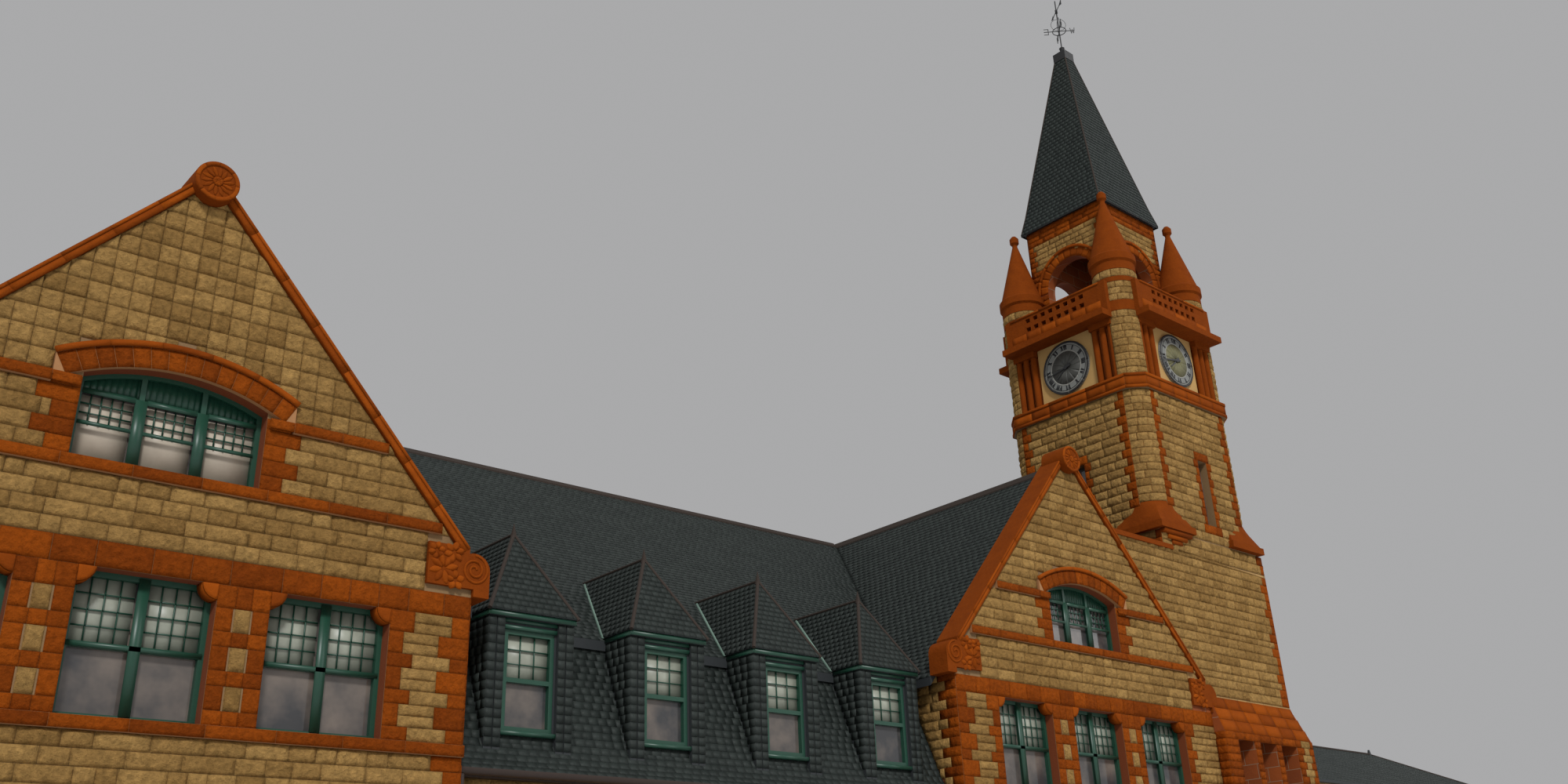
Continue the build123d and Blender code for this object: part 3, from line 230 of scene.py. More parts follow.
def jamb_material():
    """Red stone inside the street's openings, and joints behind the blocks elsewhere."""
    s = Shader("jamb", 0.86)
    grain = s.noise(60.0, 5.0)
    colour = s.mix(s.y.size().below(-front - 0.004), MORTAR, RED_DARK)
    return s.done(s.shade(colour, grain * 0.5 + 0.8), s.bump(grain, 0.5, 0.006))


def clock_stage_material():
    """Finely tooled buff panels in a red recess."""
    s = Shader("clock_stage", 0.86)
    nearest = (s.x - tower.x).size().math("MINIMUM", (s.y - tower.y).size())
    grain = s.noise(110.0, 5.0)
    colour = s.mix(nearest.below(0.66), RED, BUFF)
    return s.done(s.shade(colour, grain * 0.4 + 0.8), s.bump(grain, 0.6, 0.006))


def plain_material(name, colour, roughness, speck=0.12, scale=30.0):
    """A plain finish with slight unevenness."""
    s = Shader(name, roughness)
    return s.done(s.shade(colour, s.noise(scale, 4.0) * (2 * speck) + (1 - speck)))


def slate_material():
    """Riven slate, each one with its own tone."""
    s = Shader("slate", 0.55)
    s.gloss(0.15)
    patch, grain = s.noise(2.2, 4.0), s.noise(70.0, 5.0)
    colour = s.mix((s.tone() * 0.6 + patch * 0.4).clamp(), SLATE_DARK, SLATE)
    return s.done(s.shade(colour, grain * 0.4 + 0.8), s.bump(grain, 0.5, 0.004), grain * 0.25 + 0.42)


def glass_material():
    """Window glass in front of a dim room."""
    s = Shader("glass", 0.06)
    s.gloss(0.8)
    return s.done(s.mix(((s.noise(1.6, 4.0) - 0.4) * 3.0).clamp(), (0.05, 0.05, 0.052), (0.21, 0.17, 0.14)))


buff = stone_material("buff_stone", BUFF, BUFF_DARK, 0.8, 0.12)
red = stone_material("red_stone", RED, RED_DARK, 0.6, 0.12)
red_smooth = stone_material("red_dressed", RED, RED_DARK, 0.12, 0.06)
buff_wall = ashlar_material("buff_ashlar", BUFF, BUFF_DARK, MORTAR, 0.12, 0.28)
red_wall = ashlar_material("red_ashlar", RED, RED_DARK, WALL_JOINT, 0.24, 0.45, 0.3)
jamb = jamb_material()
red_joint = plain_material("red_joint", RED_JOINT, 0.9)
clock_stage = clock_stage_material()
mortar = plain_material("mortar", MORTAR, 0.9)
slate = slate_material()
slate_bed = plain_material("slate_bed", (0.02, 0.024, 0.026), 0.7)
green = plain_material("green_paint", GREEN, 0.4)
ridge_metal = plain_material("ridge_metal", (0.028, 0.017, 0.011), 0.85)
brown = plain_material("brown_paint", (0.035, 0.02, 0.014), 0.5)
copper = plain_material("copper_green", (0.16, 0.25, 0.2), 0.6)
dark_iron = plain_material("dark_iron", (0.012, 0.012, 0.013), 0.5)
dial_face = plain_material("dial_glass", (0.19, 0.195, 0.18), 0.6)
dial_pale = plain_material("dial_pale", (0.30, 0.295, 0.26), 0.7)
dial_centre = plain_material("dial_centre", (0.06, 0.06, 0.052), 0.6)
# A lighter, yellower copy of the dial centre's colour, as painted light on the street dial.
dial_centre_painted_light = plain_material("dial_centre_painted_light", (0.15, 0.14, 0.06), 0.6)
blind = plain_material("blind", (0.50, 0.43, 0.34), 0.45, speck=0.3, scale=3.0)
curtain = plain_material("curtain", (0.33, 0.345, 0.28), 0.4, speck=0.35, scale=6.0)
boards = plain_material("boards", (0.30, 0.21, 0.13), 0.7)
glass = glass_material()
print("materials", len(bpy.data.materials))

# %% [markdown]
# The material of each CAD node, and the slot that each material of the dressing belongs to.

# %%
looks = {
    slate_bed: "main_roof pavilion_roofs steep_slopes dormer_roofs dormer_walls spire wing_roof",
    green: "windows doors", glass: "window_glass", brown: "range_eaves", ridge_metal: "ridge_caps",
    red_smooth: "gable_copings kneelers tower_cornice parapets corner_turrets clock_colonnettes",
    red_joint: "string_courses", red_wall: "tower_base belfry_walls", clock_stage: "clock_stage_walls",
    buff_wall: "wing_walls side_walls range_walls tower_lower_walls", mortar: "tower_upper_walls",
    jamb: "gable_walls left_pavilion_ground_walls left_pavilion_upper_walls right_pavilion_ground_walls "
          "right_pavilion_upper_walls", boards: "ground_floors upper_floors", dial_face: "dials",
    dark_iron: "vane_mast vane_pointer",
}
look_of = {node: material for material, names in looks.items() for node in names.split()}
for name, obj in nodes.items():
    obj.data.materials.clear()
    obj.data.materials.append(look_of.get(name, dark_iron if "hand" in name else mortar))
slots = {"buff_stone": (buff,), "red_stone": (red, red_smooth), "slate": (slate,),
         "ridge_metal": (ridge_metal, copper), "green_joinery": (green,), "window_glass": (blind, curtain),
         "dark_iron": (dark_iron,), "dial_face": (dial_pale, dial_centre, dial_centre_painted_light)}
slot_of = {material: slot for slot, group in slots.items() for material in group}
print("nodes with a material of their own", len(look_of))

# %% [markdown]
# Mappings from a surface's own coordinates to the model.


# %%
def flat(origin, along, up=(0, 0, 1)):
    """A plane: distance along, height, and height above the surface."""
    origin, along, up = Vector(origin), Vector(along).normalized(), Vector(up).normalized()
    out = along.cross(up)
    return lambda u, v, d: np.stack([origin[i] + u * along[i] + v * up[i] + d * out[i] for i in range(3)], -1)


def around(x, y, radius):
    """A standing cylinder: distance round it, height, and height above the surface."""
    def place(u, v, d):
        angle = u / radius
        return np.stack([x + (radius + d) * np.cos(angle), y + (radius + d) * np.sin(angle), v], -1)
    return place


def fan(surface, u0, v0, radius):
    """A ring on a surface: distance round it at the radius, distance from its centre, and height."""
    return lambda u, v, d: surface(u0 + v * np.sin(u / radius), v0 + v * np.cos(u / radius), d)


def turned(surface, u0, v0, angle):
    """The same surface with its axes turned about a point."""
    c, s = math.cos(angle), math.sin(angle)
    return lambda u, v, d: surface(u0 + u * c - v * s, v0 + u * s + v * c, d)


def petal(surface, u0, v0, angle, length, width):
    """A leaf on a surface: distance along it, and across it from -0.5 to 0.5."""
    place = turned(surface, u0, v0, angle)
    return lambda u, v, d: place(u, v * width * np.sin(np.pi * np.clip(u / length, 0.03, 0.97)) ** 0.7, d)


def scroll(surface, u0, v0, start, turns):
    """A spiral on a surface: angle turned, and distance out from its line."""
    def place(u, v, d):
        reach = start * (1 - 0.85 * np.abs(u) / (2 * math.pi * turns)) + v
        return surface(u0 + reach * np.sin(u), v0 + reach * np.cos(u), d)
    return place


def front_plane(side, out=0.0):
    """The street front, side 1, or the back, side -1, moved outwards. Distances run to the right."""
    return flat((0, side * (front - out), 0), (side, 0, 0))


# %% [markdown]
# A stamp that lays many like pieces on a surface, and round bars.


# %%
def pattern(nx, ny):
    """A unit tile: a grid with a skirt round it. Gives its points, levels and faces."""
    bm = bmesh.new()
    bmesh.ops.create_grid(bm, x_segments=nx, y_segments=ny, size=0.5)
    level = bm.verts.layers.int.new("level")
    edge = [e for e in bm.edges if e.is_boundary]
    rim = {v for e in edge for v in e.verts}
    for v in bm.verts:
        v[level] = 1 if v not in rim else 0
    skirt = bmesh.ops.extrude_edge_only(bm, edges=edge)
    for v in skirt["geom"]:
        if isinstance(v, bmesh.types.BMVert):
            v[level] = -1
    bmesh.ops.recalc_face_normals(bm, faces=bm.faces)
    bm.verts.ensure_lookup_table()
    if max(bm.faces, key=lambda f: len([v for v in f.verts if v[level] >= 0])).normal.z < 0:
        bmesh.ops.reverse_faces(bm, faces=bm.faces)
    points = np.array([v.co[:2] for v in bm.verts]) + 0.5
    levels = np.array([v[level] for v in bm.verts])
    faces = np.array([[v.index for v in f.verts] for f in bm.faces])
    bm.free()
    return points, levels, faces


table = rng.rand(128, 128)


def rough(u, v, scale):
    """Smooth unevenness between 0 and 1."""
    a, b = u * scale, v * scale
    i, j = np.floor(a).astype(int), np.floor(b).astype(int)
    s, t = a - i, b - j
    s, t = s * s * (3 - 2 * s), t * t * (3 - 2 * t)
    at = lambda m, n: table[m % 128, n % 128]
    return (at(i, j) * (1 - s) * (1 - t) + at(i + 1, j) * s * (1 - t) + at(i, j + 1) * (1 - s) * t
            + at(i + 1, j + 1) * s * t)


def piece(name, mesh, material):
    """An object of the building, with its material."""
    body, slot = "building", slot_of[material]
    mesh.materials.append(material)
    obj = bpy.data.objects.new(name, mesh)
    bpy.context.scene.collection.objects.link(obj)
    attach(obj, body)
    return obj


def build(name, points, faces, tones, material):
    """One object from points and faces, with a tone on each face."""
    mesh = bpy.data.meshes.new(name)
    mesh.vertices.add(len(points))
    mesh.vertices.foreach_set("co", np.asarray(points, np.float32).ravel())
    count = faces.shape[1]
    mesh.loops.add(faces.size)
    mesh.loops.foreach_set("vertex_index", faces.astype(np.int32).ravel())
    mesh.polygons.add(len(faces))
    mesh.polygons.foreach_set("loop_start", np.arange(0, faces.size, count, dtype=np.int32))
    mesh.update(calc_edges=True)
    layer = mesh.attributes.new("tone", "FLOAT", "FACE")
    layer.data.foreach_set("value", np.asarray(tones, np.float32))
    return piece(name, mesh, material)


def stamp(name, tiles, cells, material, margin=0.004, height=0.010, relief=0.012, tilt=0.0):
    """Lays tiles. Each is (surface, left low, left high, right low, right high, low, high)."""
    unit, levels, faces = pattern(*cells)
    s, t = unit[:, 0], unit[:, 1]
    all_points, all_faces, all_tones = [], [], []
    crown = np.clip(16 * s * (1 - s) * t * (1 - t), 0, 1) ** 0.5
    for k, (surface, l0, l1, r0, r1, v0, v1) in enumerate(tiles):
        v = v0 + margin / 2 + t * (v1 - v0 - margin)
        low, high = l0 + (l1 - l0) * t + margin / 2, r0 + (r1 - r0) * t - margin / 2
        u = low + s * (high - low)
        shift = k * 0.37
        uneven = (0.75 * rough(u + shift, v, 11.0) + 0.45 * rough(u, v + shift, 29.0)) ** 1.6
        swell = relief * crown * np.where(levels > 0, 0.25 + 1.1 * uneven, 0.0)
        d = np.where(levels < 0, -0.004, height + swell + tilt * (1 - t))
        all_points.append(surface(u, v, d))
        all_faces.append(faces + k * len(unit))
        all_tones.append(np.full(len(faces), rng.rand()))
    build(name, np.concatenate(all_points), np.concatenate(all_faces), np.concatenate(all_tones), material)
    print(name, len(tiles), "tiles", 2 * len(faces) * len(tiles), "triangles")


def trim(name, tiles, material, height, cells=(1, 1)):
    """Lays plain tiles that meet without joints."""
    stamp(name, tiles, cells, material, margin=0, relief=0, height=height)


def strip(surface, u0, u1, v0, v1, about=100.0):
    """One band on a surface, cut into stones of about one length. Its ends come in either order."""
    u0, u1 = sorted((u0, u1))
    cuts = np.linspace(u0, u1, max(1, round((u1 - u0) / about)) + 1)
    return [(surface, a, a, b, b, v0, v1) for a, b in zip(cuts, cuts[1:])]


def circle(surface, u0, v0, inner, outer, radius, count=8):
    """A whole ring on a surface, in a number of parts."""
    full = 2 * math.pi * radius
    return strip(fan(surface, u0, v0, radius), 0, full, inner, outer, full / count)


def rods(name, pairs, material, sides=8):
    """Round bars, each given by its ends and its radius, and by a second radius where it tapers."""
    bm = bmesh.new()
    for a, b, radius, *tip in pairs:
        a, b = Vector(a), Vector(b)
        turn = (b - a).to_track_quat("Z", "Y").to_matrix().to_4x4()
        bmesh.ops.create_cone(bm, cap_ends=True, segments=sides, radius1=radius, radius2=(tip or [radius])[0],
                              depth=(b - a).length, matrix=Matrix.Translation((a + b) / 2) @ turn)
    mesh = bpy.data.meshes.new(name)
    bm.to_mesh(mesh)
    bm.free()
    piece(name, mesh, material)
    print(name, len(pairs), "rods")


# %% [markdown]
# Rows of blocks: a row starts as one span, and quoins, bands and openings are painted over it.


# %%
class Row:
    """One course of a wall, as spans of stone of one kind."""

    def __init__(self, low, high, left, right, kind="b"):
        self.low, self.high, self.middle = low, high, (low + high) / 2
        if callable(left):
            self.spans = [(left(low), left(high), right(low), right(high), kind)]
        else:
            left, right = sorted((left, right))
            self.spans = [(left, left, right, right, kind)]

    def paint(self, a, b, kind):
        """Gives the stones between two places another kind, or takes them out if it is None."""
        a, b = sorted((a, b))
        kept, starts, ends = [], [], []
        for l0, l1, r0, r1, old in self.spans:
            left, right = (l0 + l1) / 2, (r0 + r1) / 2
            if b <= left or a >= right:
                kept.append((l0, l1, r0, r1, old))
                continue
            if a > left:
                kept.append((l0, l1, a, a, old))
            if b < right:
                kept.append((b, b, r0, r1, old))
            starts.append((l0, l1) if a <= left else (a, a))
            ends.append((r0, r1) if b >= right else (b, b))
        if kind and starts:
            kept.append(min(starts) + max(ends) + (kind,))
        self.spans = kept

    def about(self, centre, half, kind):
        self.paint(centre - half, centre + half, kind)

    def quoins(self, left, right, wide):
        self.paint(left, left + wide, "r")
        self.paint(right - wide, right, "r")

    def arch(self, centre, half, spring, sill, jamb=0.0):
        """Takes out a round-headed opening with its ring, between red jambs."""
        rise = self.middle - spring
        if 0 < rise < half + arch_ring:
            self.about(centre, math.sqrt((half + arch_ring) ** 2 - rise ** 2), None)
        elif sill < self.middle <= spring:
            self.about(centre, half + jamb, "r")
            self.about(centre, half, None)

    def blocks(self, surface, shortest=0.16, longest=0.42):
        """Splits the spans into blocks, and gives them by kind."""
        found = {"b": [], "r": []}
        for l0, l1, r0, r1, kind in self.spans:
            left, right = (l0 + l1) / 2, (r0 + r1) / 2
            if right - left < 0.02:
                continue
            cuts = [left]
            small, large = (shortest, longest) if kind == "b" else (0.26, 0.5)
            if small == large:
                first = math.ceil((left + 0.02) / small)
                cuts += [n * small for n in range(first, math.floor((right - 0.02) / small) + 1)]
            while right - cuts[-1] > large:
                cuts.append(cuts[-1] + small + (large - small) * rng.rand())
            if len(cuts) > 1 and right - cuts[-1] < 0.5 * small:
                cuts.pop()
            cuts.append(right)
            for i, (a, b) in enumerate(zip(cuts, cuts[1:])):
                start = (l0, l1) if i == 0 else (a, a)
                end = (r0, r1) if i == len(cuts) - 2 else (b, b)
                found[kind].append((surface,) + start + end + (self.low, self.high))
        return found


def courses(low, high, about):
    """Even course heights between two levels."""
    count = max(1, round((high - low) / about))
    step = (high - low) / count
    return [(low + i * step, low + (i + 1) * step, i) for i in range(count)]


def gather(store, found):
    for kind in store:
        store[kind] += found[kind]


def quoin(i, long=0.34, short=0.2):
    return long if i % 2 else short


# %% [markdown]
# The camera, as fitted to the photograph.

# %%
yaw, pitch, roll = math.radians(42.768), math.radians(24.44), math.radians(-2.694)
eye = (-10.7309, -18.3607, 0.8)
ahead = Vector((math.sin(yaw) * math.cos(pitch), math.cos(yaw) * math.cos(pitch), math.sin(pitch)))
level = Vector((math.cos(yaw), -math.sin(yaw), 0))
above = level.cross(ahead)
right = math.cos(roll) * level + math.sin(roll) * above
up = -math.sin(roll) * level + math.cos(roll) * above
camera = bpy.data.objects.new("camera", bpy.data.cameras.new("camera"))
camera.matrix_world = Matrix.Translation(eye) @ Matrix((right, up, -ahead)).transposed().to_4x4()
camera.data.sensor_width, camera.data.lens = 36.0, 31.203
camera.data.shift_x, camera.data.shift_y = -0.0091, -0.0187
camera.data.clip_end = 500.0
bpy.context.scene.collection.objects.link(camera)
bpy.context.scene.camera = camera
bpy.context.scene.view_settings.view_transform = "Standard"
print("camera", eye)

# %% [markdown]
# Floor and light.

# %%
bm = bmesh.new()
bmesh.ops.create_grid(bm, x_segments=1, y_segments=1, size=120.0)
bmesh.ops.translate(bm, verts=bm.verts, vec=(0, 0, -0.002))
floor_mesh = bpy.data.meshes.new("floor")
bm.to_mesh(floor_mesh)
bm.free()
floor = bpy.data.objects.new("floor", floor_mesh)
floor.data.materials.append(plain_material("floor", (0.7, 0.7, 0.7), 0.9, speck=0.0))
bpy.context.scene.collection.objects.link(floor)


def lamp(name, energy, azimuth, elevation, angle):
    """A distant lamp with soft edges, placed by the direction its light comes from."""
    data = bpy.data.lights.new(name, "SUN")
    data.energy, data.angle = energy, math.radians(angle)
    obj = bpy.data.objects.new(name, data)
    a, e = math.radians(azimuth), math.radians(elevation)
    toward = Vector((math.sin(a) * math.cos(e), -math.cos(a) * math.cos(e), math.sin(e)))
    obj.matrix_world = toward.to_track_quat("Z", "Y").to_matrix().to_4x4()
    bpy.context.scene.collection.objects.link(obj)


lamp("key", 2.0, -30, 40, 10)
lamp("fill", 0.4, 55, 30, 40)
world = bpy.data.worlds.new("studio")
world.use_nodes = True
world.node_tree.nodes["Background"].inputs["Color"].default_value = (0.80, 0.80, 0.81, 1)
world.node_tree.nodes["Background"].inputs["Strength"].default_value = 0.5
bpy.context.scene.world = world
print("lamps", len(bpy.data.lights))

# %% [markdown]
# Masonry of the two gabled fronts and of the tower's flush face.


# %%
def gable_half(z):
    """Half the width of a gable's wall at a height."""
    return np.minimum((gable_top - z) / gable_slope, pavilion_half)


def front_wall(axis, surface, right_edge=None, square=False):
    """Blocks of one gabled front. Right of the gable the wall runs on to a given edge, if there is one."""
    store = {"b": [], "r": []}
    window_axes = [axis + k * window_spacing for k in (-1, 0, 1)]
    pier_axes = [axis + side * window_spacing / 2 for side in (-1, 1)]
    lower_end = base_left if right_edge else axis + pavilion_half

    def left_at(z):
        return axis - gable_half(z)

    def right_at(z):
        return right_edge if right_edge and z < shoulder_top else axis + gable_half(z)

    def corners(row, i):
        if right_edge:
            row.paint(axis - pavilion_half, axis - pavilion_half + quoin(i), "r")
        else:
            row.quoins(axis - pavilion_half, axis + pavilion_half, quoin(i))

    def finish(row, shortest=0.16, longest=0.5):
        if right_edge and row.low > weathering_top - 0.05:
            row.paint(right_edge - quoin(round(row.low / 0.12), 0.24, 0.14), right_edge, "r")
        gather(store, row.blocks(surface, shortest, longest))

    def piers(low, high, i):
        """One course beside the paired windows, long stones and short ones in turn."""
        row = Row(low, high, axis - pavilion_half, lower_end)
        row.about(axis, window_spacing, "r")
        for x in window_axes:
            row.about(x, paired_half + quoin(i + 1, 0.27, 0.16), "r")
        for x in window_axes:
            row.about(x, paired_half, None)
        for x in pier_axes:
            row.about(x, 0.075, None if i % 2 else "r")
        corners(row, i)
        return row

    for z0, z1, i in courses(0, sill_low, 0.15):
        row = Row(z0, z1, axis - pavilion_half, lower_end)
        corners(row, i)
        for place, half, spring, sill in ground_lights:
            row.arch(axis + place, half, spring, sill, quoin(i, 0.26, 0.16))
        finish(row)
    low = sill_high
    for i, tall in enumerate((0.14, 0.22, 0.14, 0.22, 0.14, 0.22, 0.215)):
        store["r"] += piers(low, low + tall, i).blocks(surface, 0.16, 0.5)["r"]
        for z0, z1, j in courses(low, low + tall, 0.12):
            store["b"] += piers(z0, z1, i).blocks(surface, 0.16, 0.5)["b"]
        for x in pier_axes if i % 2 else ():
            store["b"] += strip(surface, x - 0.075, x + 0.075, low, low + tall)
        low += tall
    lintel = Row(window_head, lintel_top, axis - pavilion_half, lower_end, "r").blocks(surface)["r"]
    for z0, z1, i in courses(lintel_top, string_low, 0.155):
        row = Row(z0, z1, left_at, right_at)
        if z0 < 5.15:
            for side in (-1, 1):
                row.paint(axis + side * 2.68, axis + side * pavilion_half, None)
        if right_edge and z1 < weathering_top + 0.05:
            row.paint(base_left, right_edge, None)
        finish(row)
    for low, high, gap in strings:
        row = Row(low, high, left_at, right_at)
        reach = (gable_top - high) / gable_slope
        row.paint(axis - reach - 0.2, axis + reach - 0.01, None)
        for side in (-1, 1) if gap else ():
            near, far = sorted((axis + side * gap, axis + side * attic_half))
            row.spans.append((near, near, far, far, "r"))
        finish(row)
    for z0, z1, i in courses(string_high, spring_low, 0.161):
        row = Row(z0, z1, left_at, right_at)
        row.about(axis, attic_half + quoin(i, 0.36, 0.22), "r")
        row.about(axis, attic_half, None)
        finish(row)
    hood = attic_radius + 0.25
    for z0, z1, i in courses(spring_high, 8.48, 0.199 if square else 0.155):
        row = Row(z0, z1, left_at, right_at)
        if row.middle < attic_centre + hood:
            arc = math.sqrt(hood ** 2 - (row.middle - attic_centre) ** 2)
            row.about(axis, min(hood_half, arc), None)
        finish(row, *((0.19, 0.19) if square else (0.16, 0.42)))
    store["lintel"] = lintel
    return store


street, rear = front_plane(1), front_plane(-1)
fronts = {"left": (front_wall(axes[0], street, square=True), (8, 5)),
          "right": (front_wall(axes[1], street, lower_right), (8, 4)),
          "left_back": (front_wall(-axes[0], rear), (2, 1)),
          "right_back": (front_wall(-axes[1], rear), (2, 1))}
for tag, (store, cells) in fronts.items():
    stamp(tag + "_front_buff", store["b"], cells, buff, relief=0.030, height=0.007)
    stamp(tag + "_front_red", store["r"], cells, red, relief=0.008, height=0.006, margin=0.003)
    stamp(tag + "_lintel", store["lintel"], (2 * cells[0], cells[1]), red, relief=0.026, height=0.004)

# %% [markdown]
# Trim of the gabled fronts: corbels, hoods, bands and copings.

# %%
corbel_radius, hood_deep, hood_reach = 0.15, 0.215, 0.51 * attic_radius
sides_and_axes = [(side, side * axis, side > 0 and axis > 0) for side in (1, -1) for axis in axes]


def soffit(u, side):
    """The underside of a corbel, drawn into the wall."""
    def place(s, v, d):
        reach, angle = corbel_radius + d, s / corbel_radius
        return np.stack([side * (u + reach * np.sin(angle)), side * (front + v),
                         window_head + reach * np.cos(angle)], -1)
    return place


corbels, soffits, voussoirs, drips, bands, copings, rolls = ([] for _ in range(7))
slant = math.atan(gable_slope)
for side, a, by_tower in sides_and_axes:
    proud = front_plane(side, band_out)
    for u in [a + k * window_spacing + jamb_side * paired_half for k in (-1, 0, 1) for jamb_side in (-1, 1)]:
        start = 0.5 if (round((u - a) / paired_half * 2) in (-8, -2, 4)) else 1.0
        arc0, arc1 = start * math.pi * corbel_radius, (start + 0.5) * math.pi * corbel_radius
        corbels += strip(fan(front_plane(side), u, window_head, corbel_radius), arc0, arc1, 0.0, 0.148)
        soffits += strip(soffit(u, side), arc0, arc1, 0.0, reveal)
    ring, top = fan(proud, a, attic_centre, attic_radius), attic_radius + hood_deep
    voussoirs += strip(ring, -hood_reach, hood_reach, attic_radius, top, 0.15)
    drips += strip(ring, -hood_reach, hood_reach, top, top + 0.055, 0.42)
    for s in (-1, 1):
        voussoirs += strip(proud, a + s * 0.875, a + s * hood_half, 6.03, 6.13)
    for low, high, gap in ((sill_low, sill_high, 0.0),) + strings:
        reach = min(pavilion_half, (gable_top - high) / gable_slope - 0.01)
        for u0, u1 in ([(-reach, -gap), (gap, reach)] if gap else [(-reach, reach)]):
            bands += strip(proud, a + u0, a + u1, low, high, 0.62)
    for s in (-1, 1):
        foot = (3.135 if by_tower and s > 0 else 3.155) / math.cos(slant)
        face_plane = turned(proud, a, coping_apex, -s * slant)
        copings += strip(face_plane, s * 0.2, s * foot, -0.103, -0.036, 0.6)
        rolls += strip(face_plane, s * 0.2, s * foot, -0.036, -0.002, 0.6)
stamp("head_corbels", corbels, (8, 4), red_smooth, relief=0.006)
trim("corbel_soffits", soffits, red_smooth, 0.003, (8, 1))
stamp("attic_voussoirs", voussoirs, (3, 4), red, relief=0.003, height=0.004)
stamp("attic_drips", drips, (6, 2), red_smooth, relief=0, height=0.03, margin=0.002)
stamp("band_stones", bands, (10, 3), red, relief=0.009, height=0.005)
stamp("coping_stones", copings, (4, 1), red_smooth, relief=0, height=0.004)
stamp("coping_rolls", rolls, (4, 2), red_smooth, relief=0.004, height=0.012)

# %% [markdown]
# Carving: foliage and scrolls on the kneelers, and whirling petals on the street's roundels.

# %%
scroll_turns, scroll_start, scroll_z = 2.2, 0.165, 4.93
roundel_z, roundel_ring, petal_count = 8.5, 0.225, 14
# Each tuft of a kneeler: its place from the axis, its height, its leaves and their length.
tufts = ((2.86, 4.9, 8, 0.15), (2.97, 5.09, 6, 0.1), (2.77, 5.08, 6, 0.08), (3.0, 4.79, 5, 0.09))


def leaf(surface, u, v, angle, from_centre, length, width, turn=0.0):
    """A leaf that points away from a centre."""
    place = petal(surface, u + from_centre * math.cos(angle), v + from_centre * math.sin(angle), angle + turn,
                  length, width)
    return (place, 0, 0, length, length, -0.5, 0.5)


leaves, scrolls, rosettes, rings = [], [], [], []
for side, a, by_tower in sides_and_axes:
    proud, disc = front_plane(side, band_out), front_plane(1, 0.15)
    for s in (-1, 1):
        if not (by_tower and s > 0):
            spiral = scroll(proud, a + s * pavilion_half, scroll_z, scroll_start, scroll_turns)
            scrolls += strip(spiral, 0.0, s * 2 * math.pi * scroll_turns, -0.013, 0.013)
        for x, z, count, length in tufts:
            leaves += [leaf(proud, a + s * x, z, 2 * math.pi * (j + 0.3) / count, 0.02, length, 0.075)
                       for j in range(count)]
    if side > 0:
        rosettes += [leaf(disc, a, roundel_z, 2 * math.pi * j / petal_count, 0.05, 0.12, 0.045, 0.25)
                     for j in range(petal_count)]
        rings += circle(disc, a, roundel_z, 0.18, 0.221, roundel_ring)
        rings += circle(disc, a, roundel_z, 0.0, 0.05, roundel_ring)
stamp("kneeler_leaves", leaves, (6, 4), red_smooth, margin=0, relief=0.03, height=0.002)
stamp("kneeler_scrolls", scrolls, (72, 2), red_smooth, margin=0, relief=0.016, height=0.008)
stamp("roundel_petals", rosettes, (6, 4), red_smooth, margin=0, relief=0.016, height=0.002)
stamp("roundel_rings", rings, (6, 3), red_smooth, margin=0, relief=0.008, height=0.012)


# %% [markdown]
# Slates: staggered rows up each slope, trimmed to the slope's outline.


# %%
def slope_tiles(surface, low, high, left, right, exposure=0.1, width=0.13):
    """Slates in rows between two heights up a slope, each row between its own ends."""
    tiles = []
    count = max(1, round((high - low) / exposure))
    step = (high - low) / count
    for i in range(count):
        v0, v1 = low + i * step, low + (i + 1) * step
        a0, a1, b0, b1 = left(v0), left(v1), right(v0), right(v1)
        cuts = [a0]
        place = math.floor(a0 / width) * width + (width / 2 if i % 2 else 0)
        while place < b0 - 0.3 * width:
            if place > a0 + 0.3 * width:
                cuts.append(place)
            place += width * (0.94 + 0.12 * rng.rand())
        cuts.append(b0)
        for j, (p, q) in enumerate(zip(cuts, cuts[1:])):
            p1, q1 = (a1 if j == 0 else p), (b1 if j == len(cuts) - 2 else q)
            p1, q1 = max(p1, a1), min(q1, b1)
            if q1 - p1 > -0.05 and q - p > 0.01:
                tiles.append((surface, p, min(p1, q1), q, max(p1, q1), v0 - lap, v1 + lap))
    return tiles


def lay_slates(name, tiles, height=0.003, tilt=0.006, margin=0.003, cells=(1, 1)):
    stamp(name, tiles, cells, slate, margin=margin, height=height, relief=0, tilt=tilt)


tiles = []
roof_rise, gable_end, ridge_gap, outer_eave = ridge_top - eave_height, -front - wall, 0.05, 0.02
slope_length, cross_length = math.hypot(main_run, roof_rise), math.hypot(eave_out, roof_rise)
cross_top = cross_length - ridge_gap
for side in (-1, 1):
    surface = flat((0, -side * main_run, eave_height), (side, 0, 0), (0, side * main_run, roof_rise))
    ends = lambda v: axes[1] - eave_out + (eave_out * v / slope_length)
    tiles += slope_tiles(surface, 0, slope_length - ridge_gap, lambda v: -ends(v), ends)
lay_slates("main_slates", tiles)

tiles = []
valley = lambda v: main_run * (1 - v / cross_length)
for axis in axes:
    for side in (-1, 1):
        surface = flat((axis + side * eave_out, 0, eave_height), (0, side, 0),
                       (-side * eave_out, 0, roof_rise))
        if side * axis < 0:
            tiles += slope_tiles(surface, 0, cross_top, lambda v: -gable_end, lambda v: -valley(v))
            tiles += slope_tiles(surface, 0, cross_top, valley, lambda v: gable_end)
        else:
            start = tower.y + tower_half if axis > 0 else -gable_end
            tiles += slope_tiles(surface, outer_eave, cross_top, lambda v: start, lambda v: gable_end)
lay_slates("pavilion_slates", tiles)

# %% [markdown]
# Slates of the steep slope, with its flared foot.

# %%
steep_foot, steep_bend, steep_top = (-5.485, 2.925), (-5.16, 3.3), (-4.61, 4.65)


